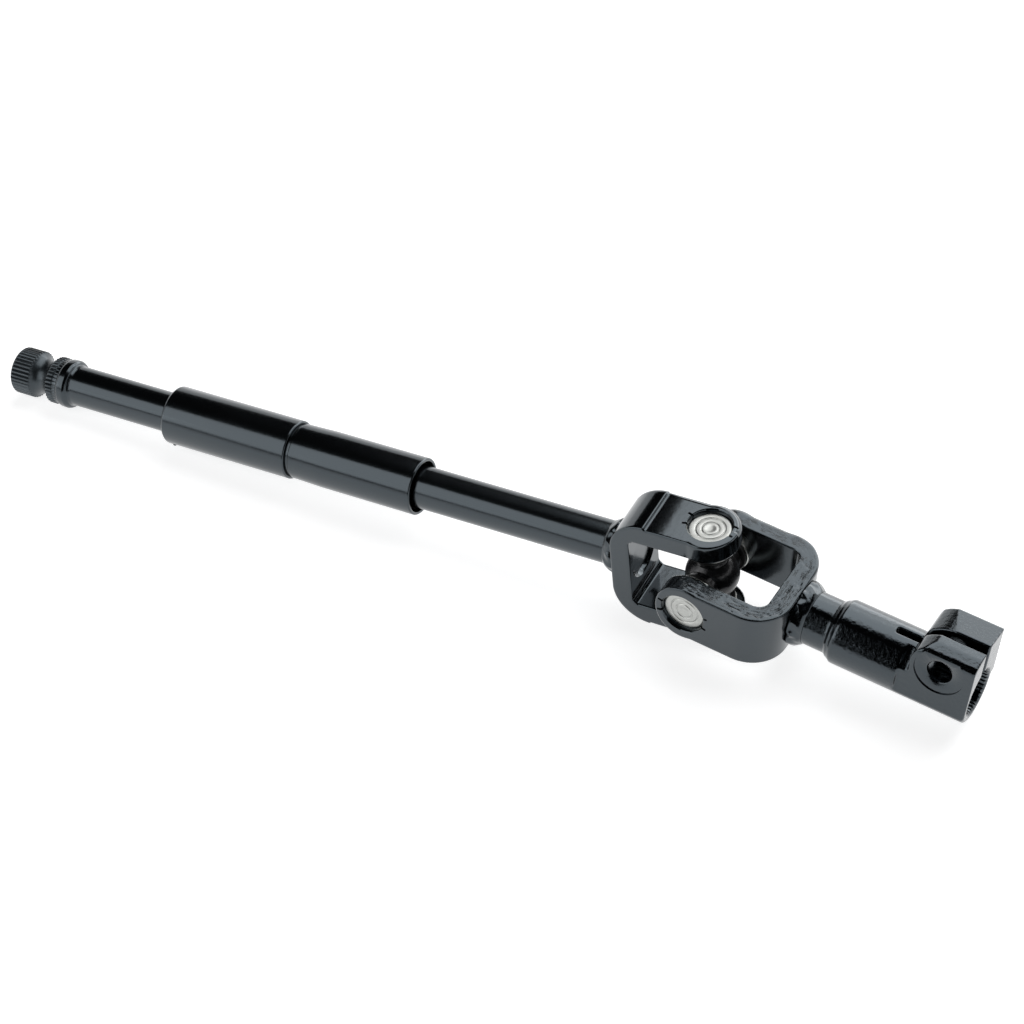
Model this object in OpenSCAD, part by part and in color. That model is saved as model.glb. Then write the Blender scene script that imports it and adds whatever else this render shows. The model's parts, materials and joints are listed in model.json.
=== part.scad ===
// Steering column shaft: a serrated upper end, a sliding section in a two-part sleeve,
// a universal joint of two strap yokes, and a pinch clamp for the steering gear.
// It lies on a flat surface on its serrated tip and its upper yoke, with +Z up.
// The origin is the centre of the serrated end's face, and +X runs along the shaft.

/* [Serrated ends] */
// Outside diameter of the serrations
serration_d = 17.2; // [16.4:0.1:18.4]
// Number of serrations around the shaft
serration_count = 36; // [24:1:44]
// Depth of one serration
serration_depth = 0.6; // [0.3:0.05:0.8]
// Share of the pitch that a serration's groove takes at its mouth
serration_share = 0.58; // [0.4:0.02:0.7]
// Length from the tip's face to the end of the second serrated land
serrated_length = 18.2; // [16:0.1:24]
// Distance from the tip's face to the middle of the pinch bolt groove
groove_x = 11.7; // [9:0.1:13]
// Chamfer at the tip's face
tip_chamfer = 0.5; // [0.3:0.1:1.5]
// Length of the plain neck behind the second land
neck_length = 1.6; // [1:0.1:4]
// Diameter of the plain neck
neck_d = 16.6; // [15.2:0.1:17]
// Length of the collar
collar_length = 4.8; // [3.6:0.1:8]
// Diameter of the collar
collar_d = 17.8; // [16.8:0.1:20]

/* [Pinch bolt] */
// Diameter of the clearance hole for the pinch bolt
bolt_hole_d = 8.4; // [8:0.1:9]
// Diameter of the tapped hole's core
bolt_core_d = 6.8; // [6:0.1:7.2]
// Distance from the shaft's axis to the bolt's axis
bolt_offset = 10.3; // [10.2:0.1:11.4]

/* [Upper shaft] */
// Diameter of the upper shaft
upper_shaft_d = 14.6; // [12:0.1:15]
// Length of the upper shaft between its collar and the sleeve
upper_shaft_shown = 42.1; // [20:0.1:120]
// Length of the upper shaft inside the sleeve
upper_socket_length = 16.6; // [10:0.1:18]

/* [Sleeve] */
// Diameter of the sleeve's upper part
sleeve_upper_d = 21.1; // [20.8:0.1:24]
// Length of the sleeve's upper part
sleeve_upper_length = 51.5; // [46:0.1:80]
// Width of the groove between the two parts
seam_gap = 1.2; // [0.6:0.1:3]
// Diameter of the sleeve's lower part
sleeve_lower_d = 20.4; // [20:0.1:23]
// Length of the sleeve's lower part outside the upper part
sleeve_lower_length = 49.1; // [46:0.1:80]
// Diameter of the lower part next to the groove
sleeve_neck_d = 19.8; // [19.4:0.1:20.2]
// Length over which the lower part widens from the groove
sleeve_neck_length = 12; // [4:0.5:20]
// Diameter of the spigot that joins the two parts
spigot_d = 19; // [18.6:0.1:19.2]
// Length of the spigot
spigot_length = 18.2; // [16:0.1:20]
// Bore of both parts
sleeve_bore_d = 17; // [16.8:0.1:17.6]
// Diameter of the recess in the open mouth
mouth_d = 18.2; // [17.8:0.1:18.8]
// Depth of the recess in the open mouth
mouth_depth = 6; // [3:0.5:10]
// Chamfer on the sleeve's edges
sleeve_chamfer = 0.9; // [0.3:0.1:0.9]
// Diameter of the small nib on the sleeve's upper rim
nib_d = 1.6; // [1:0.1:2.4]
// Height of the nib above the sleeve
nib_height = 0.8; // [0.3:0.1:1.5]
// Turn of the nib about the sleeve's axis
nib_turn = 138; // [100:1:170]

/* [Sliding shaft] */
// Diameter of the lower shaft
lower_shaft_d = 15; // [14.4:0.1:15.2]
// Length of the lower shaft between the sleeve's mouth and the upper yoke
lower_shaft_shown = 77.2; // [40:0.2:140]
// Distance across the two flats of the sliding end
flats_across = 12.8; // [11:0.1:13.6]
// Wall of the guide bush
bush_wall = 0.95; // [0.6:0.05:1]
// Length of the guide bush
bush_length = 20; // [12:0.5:22]
// Depth of the guide bush inside the mouth
bush_depth = 35.4; // [33:0.1:38]
// Width of the dust ring behind the mouth's recess
dust_ring_width = 4; // [2:0.5:6]
// Travel by which the shaft shortens
collapse_travel = 16; // [8:0.5:17]
// Travel by which the shaft lengthens
extend_travel = 8; // [4:0.5:9]
// Thickness of the stop ring
stop_ring_width = 1.5; // [1:0.1:2]
// Diameter of the stop ring
stop_ring_d = 16.3; // [15.6:0.1:16.4]
// Length of the shaft beyond the stop ring
stop_margin = 2.5; // [1.5:0.1:4]

/* [Yokes] */
// Distance from the joint's centre to the inside of a yoke's base
yoke_reach = 25.2; // [24.6:0.1:32]
// Thickness of a yoke's strap
yoke_wall = 7.2; // [6.8:0.1:9]
// Distance over the ears' outer faces
yoke_span = 43.2; // [42.8:0.2:46]
// Width of the strap
yoke_width = 21.2; // [20:0.2:21.8]
// Diameter of the rounded ears
ear_d = 22.4; // [22.2:0.2:23]
// Outer radius where the strap bends
yoke_bend_r = 13.5; // [8:0.5:15]
// Inner radius where the upper yoke's strap bends
upper_inner_r = 1.5; // [0.5:0.5:5]
// Inner radius where the lower yoke's strap bends
lower_inner_r = 4; // [0.5:0.5:5]
// Depth milled off the outside of the upper yoke's ears
ear_mill_out = 0.5; // [0.2:0.1:1]
// Depth milled off the inside of the upper yoke's ears
ear_mill_in = 0.6; // [0.2:0.1:1]
// Distance from the joint's centre to the end of the outer milling
mill_out_x = 19.2; // [15:0.1:20]
// Distance from the yoke's base to the end of the inner milling
mill_in_gap = 1.3; // [0.8:0.1:4]
// Length by which a shaft's end stays inside a yoke's base
shaft_end_recess = 1.2; // [0.4:0.1:2]
// Diameter of the spigot that the lower yoke's base holds
clamp_spigot_d = 15; // [13:0.1:16]
// Height of a weld bead above the shaft
weld_height = 2.4; // [1:0.1:2.8]
// Length of a weld bead along the shaft
weld_length = 4.7; // [2:0.1:8]

/* [Universal joint] */
// Bend of the joint at rest
joint_bend = 7.8; // [0:0.1:9]
// Sideways swing of the joint at rest
joint_swing = 3.3; // [0:0.1:10]
// Diameter of the bearing cups
cup_d = 15; // [14:0.1:15.4]
// Distance over two opposite cups
cup_span = 40; // [38:0.1:42]
// Length of a cup
cup_length = 9; // [8:0.1:9.4]
// Wall of a cup
cup_wall = 1; // [0.7:0.1:1.2]
// Thickness of a cup's closed end
cup_floor = 1.2; // [0.8:0.1:1.6]
// Diameter of a needle
needle_d = 1.6; // [1.2:0.1:1.8]
// Length of a needle
needle_length = 6.4; // [4:0.1:6.6]
// Number of needles in a cup
needle_count = 22; // [16:1:22]
// Thickness of the thrust pad on a trunnion's end
pad_thickness = 0.6; // [0.4:0.1:1]
// Diameter of a thrust pad
pad_d = 6; // [4:0.2:8]
// Thickness of a seal
seal_thickness = 1.4; // [1:0.1:1.6]
// Diameter of a seal
seal_d = 14.4; // [13:0.1:14.8]
// Diameter of the cross's round body
cross_body_d = 18.2; // [17:0.1:18.4]
// Diameter of the root of a trunnion
root_d = 12; // [11:0.1:12.4]

/* [Clamp] */
// Diameter of the stub between the lower yoke and the clamp
stub_d = 18.4; // [17:0.1:20]
// Length of the stub outside the lower yoke
stub_length = 12.8; // [8:0.1:30]
// Length of the stepped chamfer behind the stub
step_length = 2.6; // [2:0.1:6]
// Diameter of the clamp's round body
clamp_d = 22.4; // [21:0.1:24]
// Length of the clamp's round body, its chamfer excluded
clamp_length = 47.9; // [44:0.1:70]
// Depth of the serrated bore
clamp_bore_depth = 28; // [26:0.5:32]
// Length of the relief at the bottom of the bore
relief_length = 3.5; // [2:0.1:6]
// Diameter of the relief
relief_d = 17.8; // [17.4:0.1:18.4]
// Width of the slit
slit_width = 2.6; // [1.6:0.1:4]
// Length of the slit from the clamp's face
slit_length = 30.4; // [29:0.2:36]
// Height of the tapped ear above the clamp's axis, next to the slit
ear_height = 19.6; // [18.4:0.1:20.2]
// Drop of the tapped ear's top towards its outer face
tapped_ear_drop = 1.3; // [0.2:0.1:2]
// Height of the near ear above the clamp's axis
near_ear_height = 18.4; // [17.4:0.1:18.4]
// Distance from the clamp's face to the bolt's axis
bolt_x = 11.5; // [10:0.1:14]
// Radius of the ears' rounded shoulder
shoulder_r = 10.2; // [9:0.1:10.5]
// Distance from the clamp's axis to the flat face under the bolt's head
head_face = 9.9; // [9.4:0.1:10.6]
// Distance from the clamp's axis to the tapped ear's outer face
tapped_face = 12.8; // [11.6:0.1:15]
// Diameter of the spot face under the bolt's head
spot_d = 17.2; // [14:0.1:18]
// Depth of the spot face
spot_depth = 0.5; // [0.2:0.1:1]
// Depth of the chamfer at the bore's mouth
bore_lead = 0.8; // [0.4:0.1:1.5]
// Width of the bevel on the near ear's top edge
bevel_width = 4.6; // [0.5:0.1:5.5]
// Height of the bevel on the near ear's top edge
bevel_height = 0.8; // [0.5:0.1:2]
// Depth of the flat between the near ear and the round body
facet_depth = 1.5; // [0.5:0.1:2.4]
// Turn of that flat about the clamp's axis
facet_turn = 41; // [30:1:50]
// Distance from the slit's end to that flat
facet_gap = 5.7; // [3:0.1:8]
// Turn of the clamp about the shaft's axis
clamp_turn = 5; // [-20:1:20]

/* [Hidden] */
$fn = 64;
// Overshoot of cutting shapes
over = 1;
// Gap between pieces that are pressed together or lie against each other
seat_gap = 0.02;
// Radial clearance of a running fit
run_gap = 0.05;
// Clearance on each side of a needle
needle_gap = 0.03;
// Small chamfer that breaks a machined edge
edge = 0.3;
// Chamfer at the end of a turned pin or shaft
pin_chamfer = 0.6;
// Chamfer at a shaft's end inside the sleeve
end_chamfer = 1;
// Play between the stop ring and the bush at full length
stop_play = 0.2;
// Length of the flats beyond the sliding travel
flats_runout = 4;
// Depth of the stop ring's groove below the flats
stop_groove_depth = 1;

black_paint = [0.06, 0.065, 0.07];
bare_steel = [0.62, 0.63, 0.62];
needle_steel = [0.72, 0.73, 0.74];
nylon = [0.86, 0.84, 0.78];
seal_rubber = [0.1, 0.1, 0.1];
raw_cross = [0.18, 0.18, 0.19];

// Stations along the shaft, from the tip's face
collar_x = serrated_length + neck_length;
collar_end_x = collar_x + collar_length;
sleeve_x = collar_end_x + upper_shaft_shown;
seam_x = sleeve_x + sleeve_upper_length;
lower_sleeve_x = seam_x + seam_gap;
mouth_x = lower_sleeve_x + sleeve_lower_length;
yoke_back_x = mouth_x + lower_shaft_shown;
joint_x = yoke_back_x + yoke_wall + yoke_reach;
upper_shaft_end_x = sleeve_x + upper_socket_length;
spigot_x = lower_sleeve_x - spigot_length;
bush_x = mouth_x - bush_depth - bush_length;
bush_end_x = bush_x + bush_length;
stop_ring_x = bush_x - extend_travel - stop_ring_width - stop_play;
stop_seat_r = flats_across / 2 - stop_groove_depth;
lower_shaft_x = stop_ring_x - stop_margin;
flats_end_x = bush_end_x + collapse_travel + flats_runout;
lower_shaft_end_x = yoke_back_x + yoke_wall - shaft_end_recess;

// Yoke stations from the joint's centre
base_out = yoke_reach + yoke_wall;
ear_out = yoke_span / 2;
ear_in = ear_out - yoke_wall;

// Bearing stations from the joint's centre
cup_out = cup_span / 2;
cup_mouth = cup_out - cup_length;
cup_inside_d = cup_d - 2 * cup_wall;
pad_out = cup_out - cup_floor - seat_gap;
trunnion_end = pad_out - pad_thickness - seat_gap;
trunnion_d = cup_inside_d - 2 * needle_d - 4 * needle_gap;
needle_out = trunnion_end - edge;
root_out = cup_mouth - seal_thickness - 2 * seat_gap;

// Clamp stations from the joint's centre
spigot_end = yoke_reach + shaft_end_recess;
stub_end = base_out + stub_length;
clamp_x = stub_end + step_length;
clamp_end = clamp_x + clamp_length;
bore_x = clamp_end - clamp_bore_depth;
bolt_station = clamp_end - bolt_x;
serration_minor_d = serration_d - 2 * serration_depth;

// The part leans on the tip's lower edge and on the bend of the upper yoke
bend_x = joint_x - base_out + yoke_bend_r - tip_chamfer;
bend_z = serration_d / 2 - (ear_out + ear_mill_out - yoke_bend_r);
lie = asin(yoke_bend_r / norm([bend_x, bend_z])) - atan2(bend_z, bend_x);

module place_shaft() {
    rotate([0, -lie, 0]) children();
}

module place_joint() {
    place_shaft() translate([joint_x, 0, 0]) children();
}

module place_cross() {
    place_joint() rotate([0, 0, -joint_swing]) children();
}

module place_lower() {
    place_cross() rotate([0, joint_bend, 0]) children();
}

// Turns a shape drawn along Z so that it runs along X
module along_x() {
    rotate([0, 90, 0]) children();
}

// Turns a shape that points up so that it points at the near or the far side
module to_near() {
    rotate([90, 0, 0]) children();
}

module to_far() {
    rotate([-90, 0, 0]) children();
}

// V grooves that cut serrations into a round surface from radius root_r outwards
module serration_cuts(root_r, length) {
    mouth = PI * (2 * root_r + 2 * serration_depth) / serration_count * serration_share;
    rise = serration_depth + 0.3;
    half = mouth / 2 * rise / serration_depth;
    linear_extrude(length)
        for (i = [0 : serration_count - 1])
            rotate(i * 360 / serration_count)
                polygon([[root_r, 0], [root_r + rise, -half], [root_r + rise, half]]);
}

// Round section with two flats
module double_d(r, half_flat) {
    intersection() {
        circle(r);
        square([2 * r + over, 2 * half_flat], center = true);
    }
}

// Serrated upper end with its pinch bolt groove, collar and plain shaft
module upper_shaft() {
    r = serration_d / 2;
    shaft_r = upper_shaft_d / 2;
    collar_r = collar_d / 2;
    neck_r = neck_d / 2;
    // Depth and length of the collar's front and back chamfers
    front = [0.5, 0.9];
    back = [0.6, 0.9];
    fillet = 0.4;
    back_x = collar_end_x - 0.7;
    color(black_paint)
    place_shaft()
    along_x()
    difference() {
        rotate_extrude()
            difference() {
                polygon([
                    [0, 0], [r - tip_chamfer, 0], [r, tip_chamfer],
                    [r, serrated_length - edge], [r - edge, serrated_length],
                    [neck_r, serrated_length], [neck_r, collar_x],
                    [collar_r - front[0], collar_x], [collar_r, collar_x + front[1]],
                    [collar_r, back_x - back[1]], [collar_r - back[0], back_x],
                    [shaft_r + fillet, back_x + fillet / 2],
                    [shaft_r, collar_end_x + 2 * fillet],
                    [shaft_r, upper_shaft_end_x - end_chamfer],
                    [shaft_r - end_chamfer, upper_shaft_end_x], [0, upper_shaft_end_x]
                ]);
                translate([bolt_offset, groove_x]) circle(d = bolt_hole_d);
            }
        translate([0, 0, -over])
            serration_cuts(r - serration_depth, serrated_length + over);
    }
}

// Upper part of the sleeve, pressed on the upper shaft and on the lower part's spigot
module sleeve_upper() {
    r = sleeve_upper_d / 2;
    grip_r = upper_shaft_d / 2 + seat_gap;
    bore_r = sleeve_bore_d / 2;
    socket_r = spigot_d / 2 + seat_gap;
    socket_x = spigot_x - edge;
    shoulder_x = upper_shaft_end_x + edge;
    nib_root = 0.4;
    color(black_paint)
    place_shaft() {
        along_x()
            rotate_extrude()
                polygon([
                    [grip_r, sleeve_x], [r - sleeve_chamfer, sleeve_x],
                    [r, sleeve_x + sleeve_chamfer], [r, seam_x - sleeve_chamfer / 2],
                    [r - sleeve_chamfer / 2, seam_x], [socket_r, seam_x],
                    [socket_r, socket_x], [bore_r, socket_x],
                    [bore_r, shoulder_x], [grip_r, shoulder_x]
                ]);
        rotate([-nib_turn, 0, 0])
            translate([sleeve_x + sleeve_chamfer + nib_d / 2, 0, 0])
                to_far()
                    translate([0, 0, r - nib_root])
                        cylinder(h = nib_height + nib_root, d = nib_d);
    }
}

// Lower part of the sleeve: open mouth, bush seat with two flats, and spigot
module sleeve_lower() {
    r = sleeve_lower_d / 2;
    neck_r = sleeve_neck_d / 2;
    bore_r = sleeve_bore_d / 2;
    seat_flat = flats_across / 2 + run_gap + bush_wall + seat_gap;
    neck_land = 2;
    color(black_paint)
    place_shaft()
    along_x()
    difference() {
        rotate_extrude()
            polygon([
                [0, spigot_x], [spigot_d / 2 - edge, spigot_x],
                [spigot_d / 2, spigot_x + edge], [spigot_d / 2, lower_sleeve_x],
                [neck_r - sleeve_chamfer / 2, lower_sleeve_x],
                [neck_r, lower_sleeve_x + sleeve_chamfer / 2],
                [neck_r, lower_sleeve_x + neck_land], [r, lower_sleeve_x + sleeve_neck_length],
                [r, mouth_x - sleeve_chamfer / 2], [r - sleeve_chamfer / 2, mouth_x],
                [0, mouth_x]
            ]);
        translate([0, 0, mouth_x - mouth_depth])
            cylinder(h = mouth_depth + over, d = mouth_d);
        translate([0, 0, bush_end_x])
            cylinder(h = mouth_x - bush_end_x, r = bore_r);
        translate([0, 0, bush_x - over])
            linear_extrude(bush_length + 2 * over) rotate(90) double_d(bore_r, seat_flat);
        translate([0, 0, spigot_x - over])
            cylinder(h = bush_x - spigot_x + over, r = bore_r);
    }
}

// Nylon bush with two flats, which carries the turning load and lets the shaft slide
module guide_bush() {
    inner_flat = flats_across / 2 + run_gap;
    color(nylon)
    place_shaft()
    along_x()
    translate([0, 0, bush_x])
        linear_extrude(bush_length)
            rotate(90)
            difference() {
                double_d(sleeve_bore_d / 2 - seat_gap, inner_flat + bush_wall);
                double_d(lower_shaft_d / 2 + run_gap, inner_flat);
            }
}

// Ring that keeps dirt out of the sliding fit
module dust_ring() {
    color(nylon)
    place_shaft()
    along_x()
    translate([0, 0, mouth_x - mouth_depth - dust_ring_width])
        difference() {
            cylinder(h = dust_ring_width, r = sleeve_bore_d / 2 - seat_gap);
            translate([0, 0, -over])
                cylinder(h = dust_ring_width + 2 * over, r = lower_shaft_d / 2 + run_gap);
        }
}

// Lower shaft: sliding end with two flats and a stop ring's groove, plain round rod,
// and an end held in the upper yoke's base
module lower_shaft() {
    r = lower_shaft_d / 2;
    groove_x1 = stop_ring_x - seat_gap;
    groove_x2 = stop_ring_x + stop_ring_width + seat_gap;
    color(black_paint)
    place_shaft()
    along_x()
    difference() {
        rotate_extrude()
            polygon([
                [0, lower_shaft_x], [r - end_chamfer, lower_shaft_x],
                [r, lower_shaft_x + end_chamfer],
                [r, groove_x1], [stop_seat_r, groove_x1],
                [stop_seat_r, groove_x2], [r, groove_x2],
                [r, lower_shaft_end_x - pin_chamfer],
                [r - pin_chamfer, lower_shaft_end_x], [0, lower_shaft_end_x]
            ]);
        for (side = [-1, 1])
            translate([
                side * (flats_across / 2 + r), 0,
                (lower_shaft_x + flats_end_x) / 2 - over
            ])
                cube([
                    2 * r, 2 * r + over,
                    flats_end_x - lower_shaft_x + 2 * over
                ], center = true);
    }
}

// Open snap ring that stops the shaft against the guide bush
module stop_ring() {
    opening = 3;
    color(bare_steel)
    place_shaft()
    along_x()
    translate([0, 0, stop_ring_x])
        linear_extrude(stop_ring_width)
            difference() {
                circle(d = stop_ring_d);
                circle(stop_seat_r + seat_gap);
                translate([0, -opening / 2]) square([stop_ring_d, opening]);
            }
}

// Side outline of a bent strap, its arms up and down and its base on the left
module strap_outline(half_out, half_in, inner_r) {
    arm = base_out - yoke_bend_r;
    difference() {
        union() {
            translate([-arm, -half_out]) square([arm + ear_d, 2 * half_out]);
            translate([-base_out, -half_out + yoke_bend_r])
                square([yoke_bend_r + over, 2 * (half_out - yoke_bend_r)]);
            for (side = [-1, 1])
                translate([-arm, side * (half_out - yoke_bend_r)]) circle(yoke_bend_r);
        }
        translate([-yoke_reach + inner_r, -half_in])
            square([yoke_reach + ear_d + over, 2 * half_in]);
        translate([-yoke_reach, -half_in + inner_r])
            square([inner_r + over, 2 * (half_in - inner_r)]);
        for (side = [-1, 1])
            translate([-yoke_reach + inner_r, side * (half_in - inner_r)]) circle(inner_r);
    }
}

// One yoke with its base on the left and its ears above and below the joint
module yoke(half_out, half_in, inner_r, shaft_r) {
    sink = shaft_end_recess + over;
    difference() {
        intersection() {
            translate([0, yoke_width, 0]) rotate([90, 0, 0])
                linear_extrude(2 * yoke_width) strap_outline(half_out, half_in, inner_r);
            linear_extrude(2 * half_out + 2 * over, center = true)
                union() {
                    translate([-base_out - over, -yoke_width / 2])
                        square([base_out + over, yoke_width]);
                    circle(d = ear_d);
                }
        }
        cylinder(h = 2 * half_out + 2 * over, r = cup_d / 2 + seat_gap, center = true);
        for (side = [0, 180])
            rotate([side, 0, 0])
                ear_details();
        translate([-base_out - over, 0, 0]) along_x()
            cylinder(h = yoke_wall + 2 * over, r = shaft_r + seat_gap);
        translate([-yoke_reach - shaft_end_recess, 0, 0]) along_x()
            cylinder(h = sink, r1 = shaft_r, r2 = shaft_r + sink);
    }
}

// Chamfer round a cup's bore and the stake marks that hold the cup
module ear_details() {
    chamfer = 0.5;
    flare = chamfer + over;
    stake = [1.7, 0.7, 1];
    spread = 16;
    translate([0, 0, ear_out - chamfer])
        cylinder(h = flare, r1 = cup_d / 2, r2 = cup_d / 2 + flare);
    for (angle = [-spread, spread, 180 - spread, 180 + spread])
        rotate(angle)
            translate([cup_d / 2 - over, -stake[1] / 2, ear_out - stake[2]])
                cube([stake[0] + over, stake[1], stake[2] + over]);
}

module upper_yoke() {
    color(black_paint)
    place_joint()
    difference() {
        yoke(ear_out + ear_mill_out, ear_in - ear_mill_in, upper_inner_r, lower_shaft_d / 2);
        for (side = [0, 180])
            rotate([side, 0, 0]) {
                translate([-mill_out_x, -ear_d, ear_out])
                    cube([mill_out_x + ear_d, 2 * ear_d, ear_mill_out + over]);
                translate([-yoke_reach + mill_in_gap, -ear_d, 0])
                    cube([yoke_reach + ear_d, 2 * ear_d, ear_in]);
            }
    }
}

module lower_yoke() {
    color(black_paint)
    place_lower()
    rotate([90, 0, 0])
        mirror([1, 0, 0])
            yoke(ear_out, ear_in, lower_inner_r, clamp_spigot_d / 2);
}

// Weld round a shaft where it enters a yoke's base, drawn from the base outwards
module weld_bead(shaft_r) {
    inner_r = shaft_r + seat_gap;
    toe = 0.5;
    rotate_extrude()
        polygon([
            [inner_r, seat_gap], [shaft_r + weld_height, seat_gap],
            [shaft_r + weld_height, weld_length * 0.25],
            [shaft_r + weld_height * 0.88, weld_length * 0.5],
            [shaft_r + weld_height * 0.6, weld_length * 0.75],
            [shaft_r + toe, weld_length], [inner_r, weld_length]
        ]);
}

module upper_weld() {
    color(black_paint)
    place_shaft()
    translate([yoke_back_x, 0, 0])
        rotate([0, -90, 0])
            weld_bead(lower_shaft_d / 2);
}

module lower_weld() {
    color(black_paint)
    place_lower()
    translate([base_out, 0, 0])
        along_x()
            weld_bead(stub_d / 2);
}

// Cross with its round body and four trunnions
module cross() {
    color(raw_cross)
    place_cross()
    union() {
        sphere(d = cross_body_d);
        for (turn = [[0, 0, 0], [180, 0, 0], [90, 0, 0], [-90, 0, 0]])
            rotate(turn)
                rotate_extrude()
                    polygon([
                        [0, 0], [root_d / 2, 0], [root_d / 2, root_out - pin_chamfer],
                        [root_d / 2 - pin_chamfer, root_out], [trunnion_d / 2, root_out],
                        [trunnion_d / 2, trunnion_end - pin_chamfer],
                        [trunnion_d / 2 - pin_chamfer, trunnion_end],
                        [0, trunnion_end]
                    ]);
    }
}

// Drawn bearing cup, open towards the joint's centre, with two rings and a dimple on its end
module cup() {
    r = cup_d / 2;
    inner_r = cup_inside_d / 2;
    ring = cup_out - 0.2;
    dimple = cup_out - 0.4;
    color(bare_steel)
    rotate_extrude()
        polygon([
            [inner_r, cup_mouth], [r - edge, cup_mouth], [r, cup_mouth + edge],
            [r, cup_out - pin_chamfer], [r - pin_chamfer, cup_out],
            [r * 0.68, cup_out], [r * 0.66, ring], [r * 0.62, ring],
            [r * 0.6, cup_out], [r * 0.42, cup_out], [r * 0.4, ring],
            [r * 0.32, ring], [r * 0.3, cup_out], [r * 0.18, cup_out],
            [r * 0.08, dimple], [0, dimple],
            [0, cup_out - cup_floor], [inner_r, cup_out - cup_floor]
        ]);
}

// Full row of needles between a cup and its trunnion
module needles() {
    pitch_r = (trunnion_d + needle_d) / 2 + needle_gap;
    color(needle_steel)
    for (i = [0 : needle_count - 1])
        rotate(i * 360 / needle_count)
            translate([pitch_r, 0, needle_out - needle_length])
                cylinder(h = needle_length, d = needle_d, $fn = 24);
}

// Rubber seal on a trunnion, closing the mouth of its cup
module seal() {
    color(seal_rubber)
    rotate_extrude()
        polygon([
            [trunnion_d / 2 + seat_gap, root_out + seat_gap],
            [seal_d / 2 - edge, root_out + seat_gap],
            [seal_d / 2, root_out + seat_gap + edge],
            [seal_d / 2, cup_mouth - seat_gap - edge],
            [seal_d / 2 - edge, cup_mouth - seat_gap],
            [trunnion_d / 2 + seat_gap, cup_mouth - seat_gap]
        ]);
}

// Nylon pad between a trunnion's end and its cup
module pad() {
    color(nylon)
    translate([0, 0, pad_out - pad_thickness]) cylinder(h = pad_thickness, d = pad_d);
}

// Plan outline of the clamp's ears in the plane of the slit
module clamp_ear_outline() {
    tuck = [0.6, 2];
    intersection() {
        union() {
            translate([bolt_station, bolt_offset]) circle(shoulder_r);
            translate([bolt_station, 0]) square([bolt_x, ear_height]);
            translate([bolt_station - shoulder_r + tuck[0], 0])
                square([shoulder_r + bolt_x - tuck[0], bolt_offset - tuck[1]]);
        }
        square([clamp_end, ear_height]);
    }
}

// Stub, round body and two ears in one piece, with a slit serrated bore
module clamp_coupling() {
    r = clamp_d / 2;
    stub_r = stub_d / 2;
    spigot_r = clamp_spigot_d / 2;
    bore_r = serration_minor_d / 2;
    facet_x = clamp_end - slit_length + facet_gap;
    rim = 0.5;
    color(black_paint)
    place_lower()
    rotate([-clamp_turn, 0, 0])
    difference() {
        union() {
            difference() {
                along_x()
                    rotate_extrude()
                        polygon([
                            [0, spigot_end], [spigot_r - pin_chamfer, spigot_end],
                            [spigot_r, spigot_end + pin_chamfer],
                            [spigot_r, base_out + seat_gap], [stub_r, base_out + seat_gap],
                            [stub_r, stub_end],
                            [(stub_r + r) / 2, stub_end + step_length * 0.25],
                            [(stub_r + r) / 2, stub_end + step_length * 0.5],
                            [r, clamp_x], [r, clamp_end - rim], [r - rim, clamp_end],
                            [0, clamp_end]
                        ]);
                rotate([-facet_turn, 0, 0])
                    translate([facet_x, -r, r - facet_depth]) cube([shoulder_r, 2 * r, r]);
            }
            translate([0, tapped_face, 0]) rotate([90, 0, 0])
                linear_extrude(tapped_face + head_face) clamp_ear_outline();
        }
        translate([facet_x, -head_face - r, -r - over])
            cube([clamp_end - facet_x + over, r, 2 * r + ear_height]);
        translate([bore_x - over, 0, 0]) along_x()
            cylinder(h = clamp_bore_depth + 2 * over, r = bore_r);
        translate([clamp_end - bore_lead, 0, 0]) along_x()
            cylinder(h = bore_lead + over, r1 = bore_r, r2 = bore_r + bore_lead + over);
        translate([bore_x - relief_length, 0, 0]) along_x()
            cylinder(h = relief_length, d = relief_d);
        translate([clamp_end - slit_length, -slit_width / 2, 0])
            cube([slit_length + over, slit_width, ear_height + over]);
        translate([bolt_station, 0, bolt_offset]) {
            to_near() cylinder(h = head_face + over, d = bolt_hole_d);
            to_near() translate([0, 0, head_face - spot_depth])
                cylinder(h = spot_depth + over, d = spot_d);
            to_far() cylinder(h = tapped_face + over, d = bolt_core_d);
        }
        translate([bolt_station - 2 * shoulder_r, 0, 0]) rotate([90, 0, 90])
            linear_extrude(4 * shoulder_r)
                polygon([
                    [-head_face - over, ear_height + over],
                    [-head_face - over, near_ear_height - bevel_height],
                    [-head_face, near_ear_height - bevel_height],
                    [-head_face + bevel_width, near_ear_height],
                    [0, near_ear_height], [0, ear_height],
                    [tapped_face, ear_height - tapped_ear_drop],
                    [tapped_face + over, ear_height - tapped_ear_drop],
                    [tapped_face + over, ear_height + over]
                ]);
    }
}

upper_shaft();
sleeve_upper();
sleeve_lower();
guide_bush();
dust_ring();
lower_shaft();
stop_ring();
upper_yoke();
upper_weld();
cross();
place_joint() cup();  // cup_top
place_joint() rotate([180, 0, 0]) cup();  // cup_bottom
place_lower() to_near() cup();  // cup_near
place_lower() to_far() cup();  // cup_far
place_joint() needles();  // needles_top
place_joint() rotate([180, 0, 0]) needles();  // needles_bottom
place_lower() to_near() needles();  // needles_near
place_lower() to_far() needles();  // needles_far
place_joint() seal();  // seal_top
place_joint() rotate([180, 0, 0]) seal();  // seal_bottom
place_lower() to_near() seal();  // seal_near
place_lower() to_far() seal();  // seal_far
place_joint() pad();  // pad_top
place_joint() rotate([180, 0, 0]) pad();  // pad_bottom
place_lower() to_near() pad();  // pad_near
place_lower() to_far() pad();  // pad_far
lower_yoke();
lower_weld();
clamp_coupling();
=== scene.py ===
"""Steering column shaft with a sliding sleeve, a universal joint and a pinch clamp."""

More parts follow.
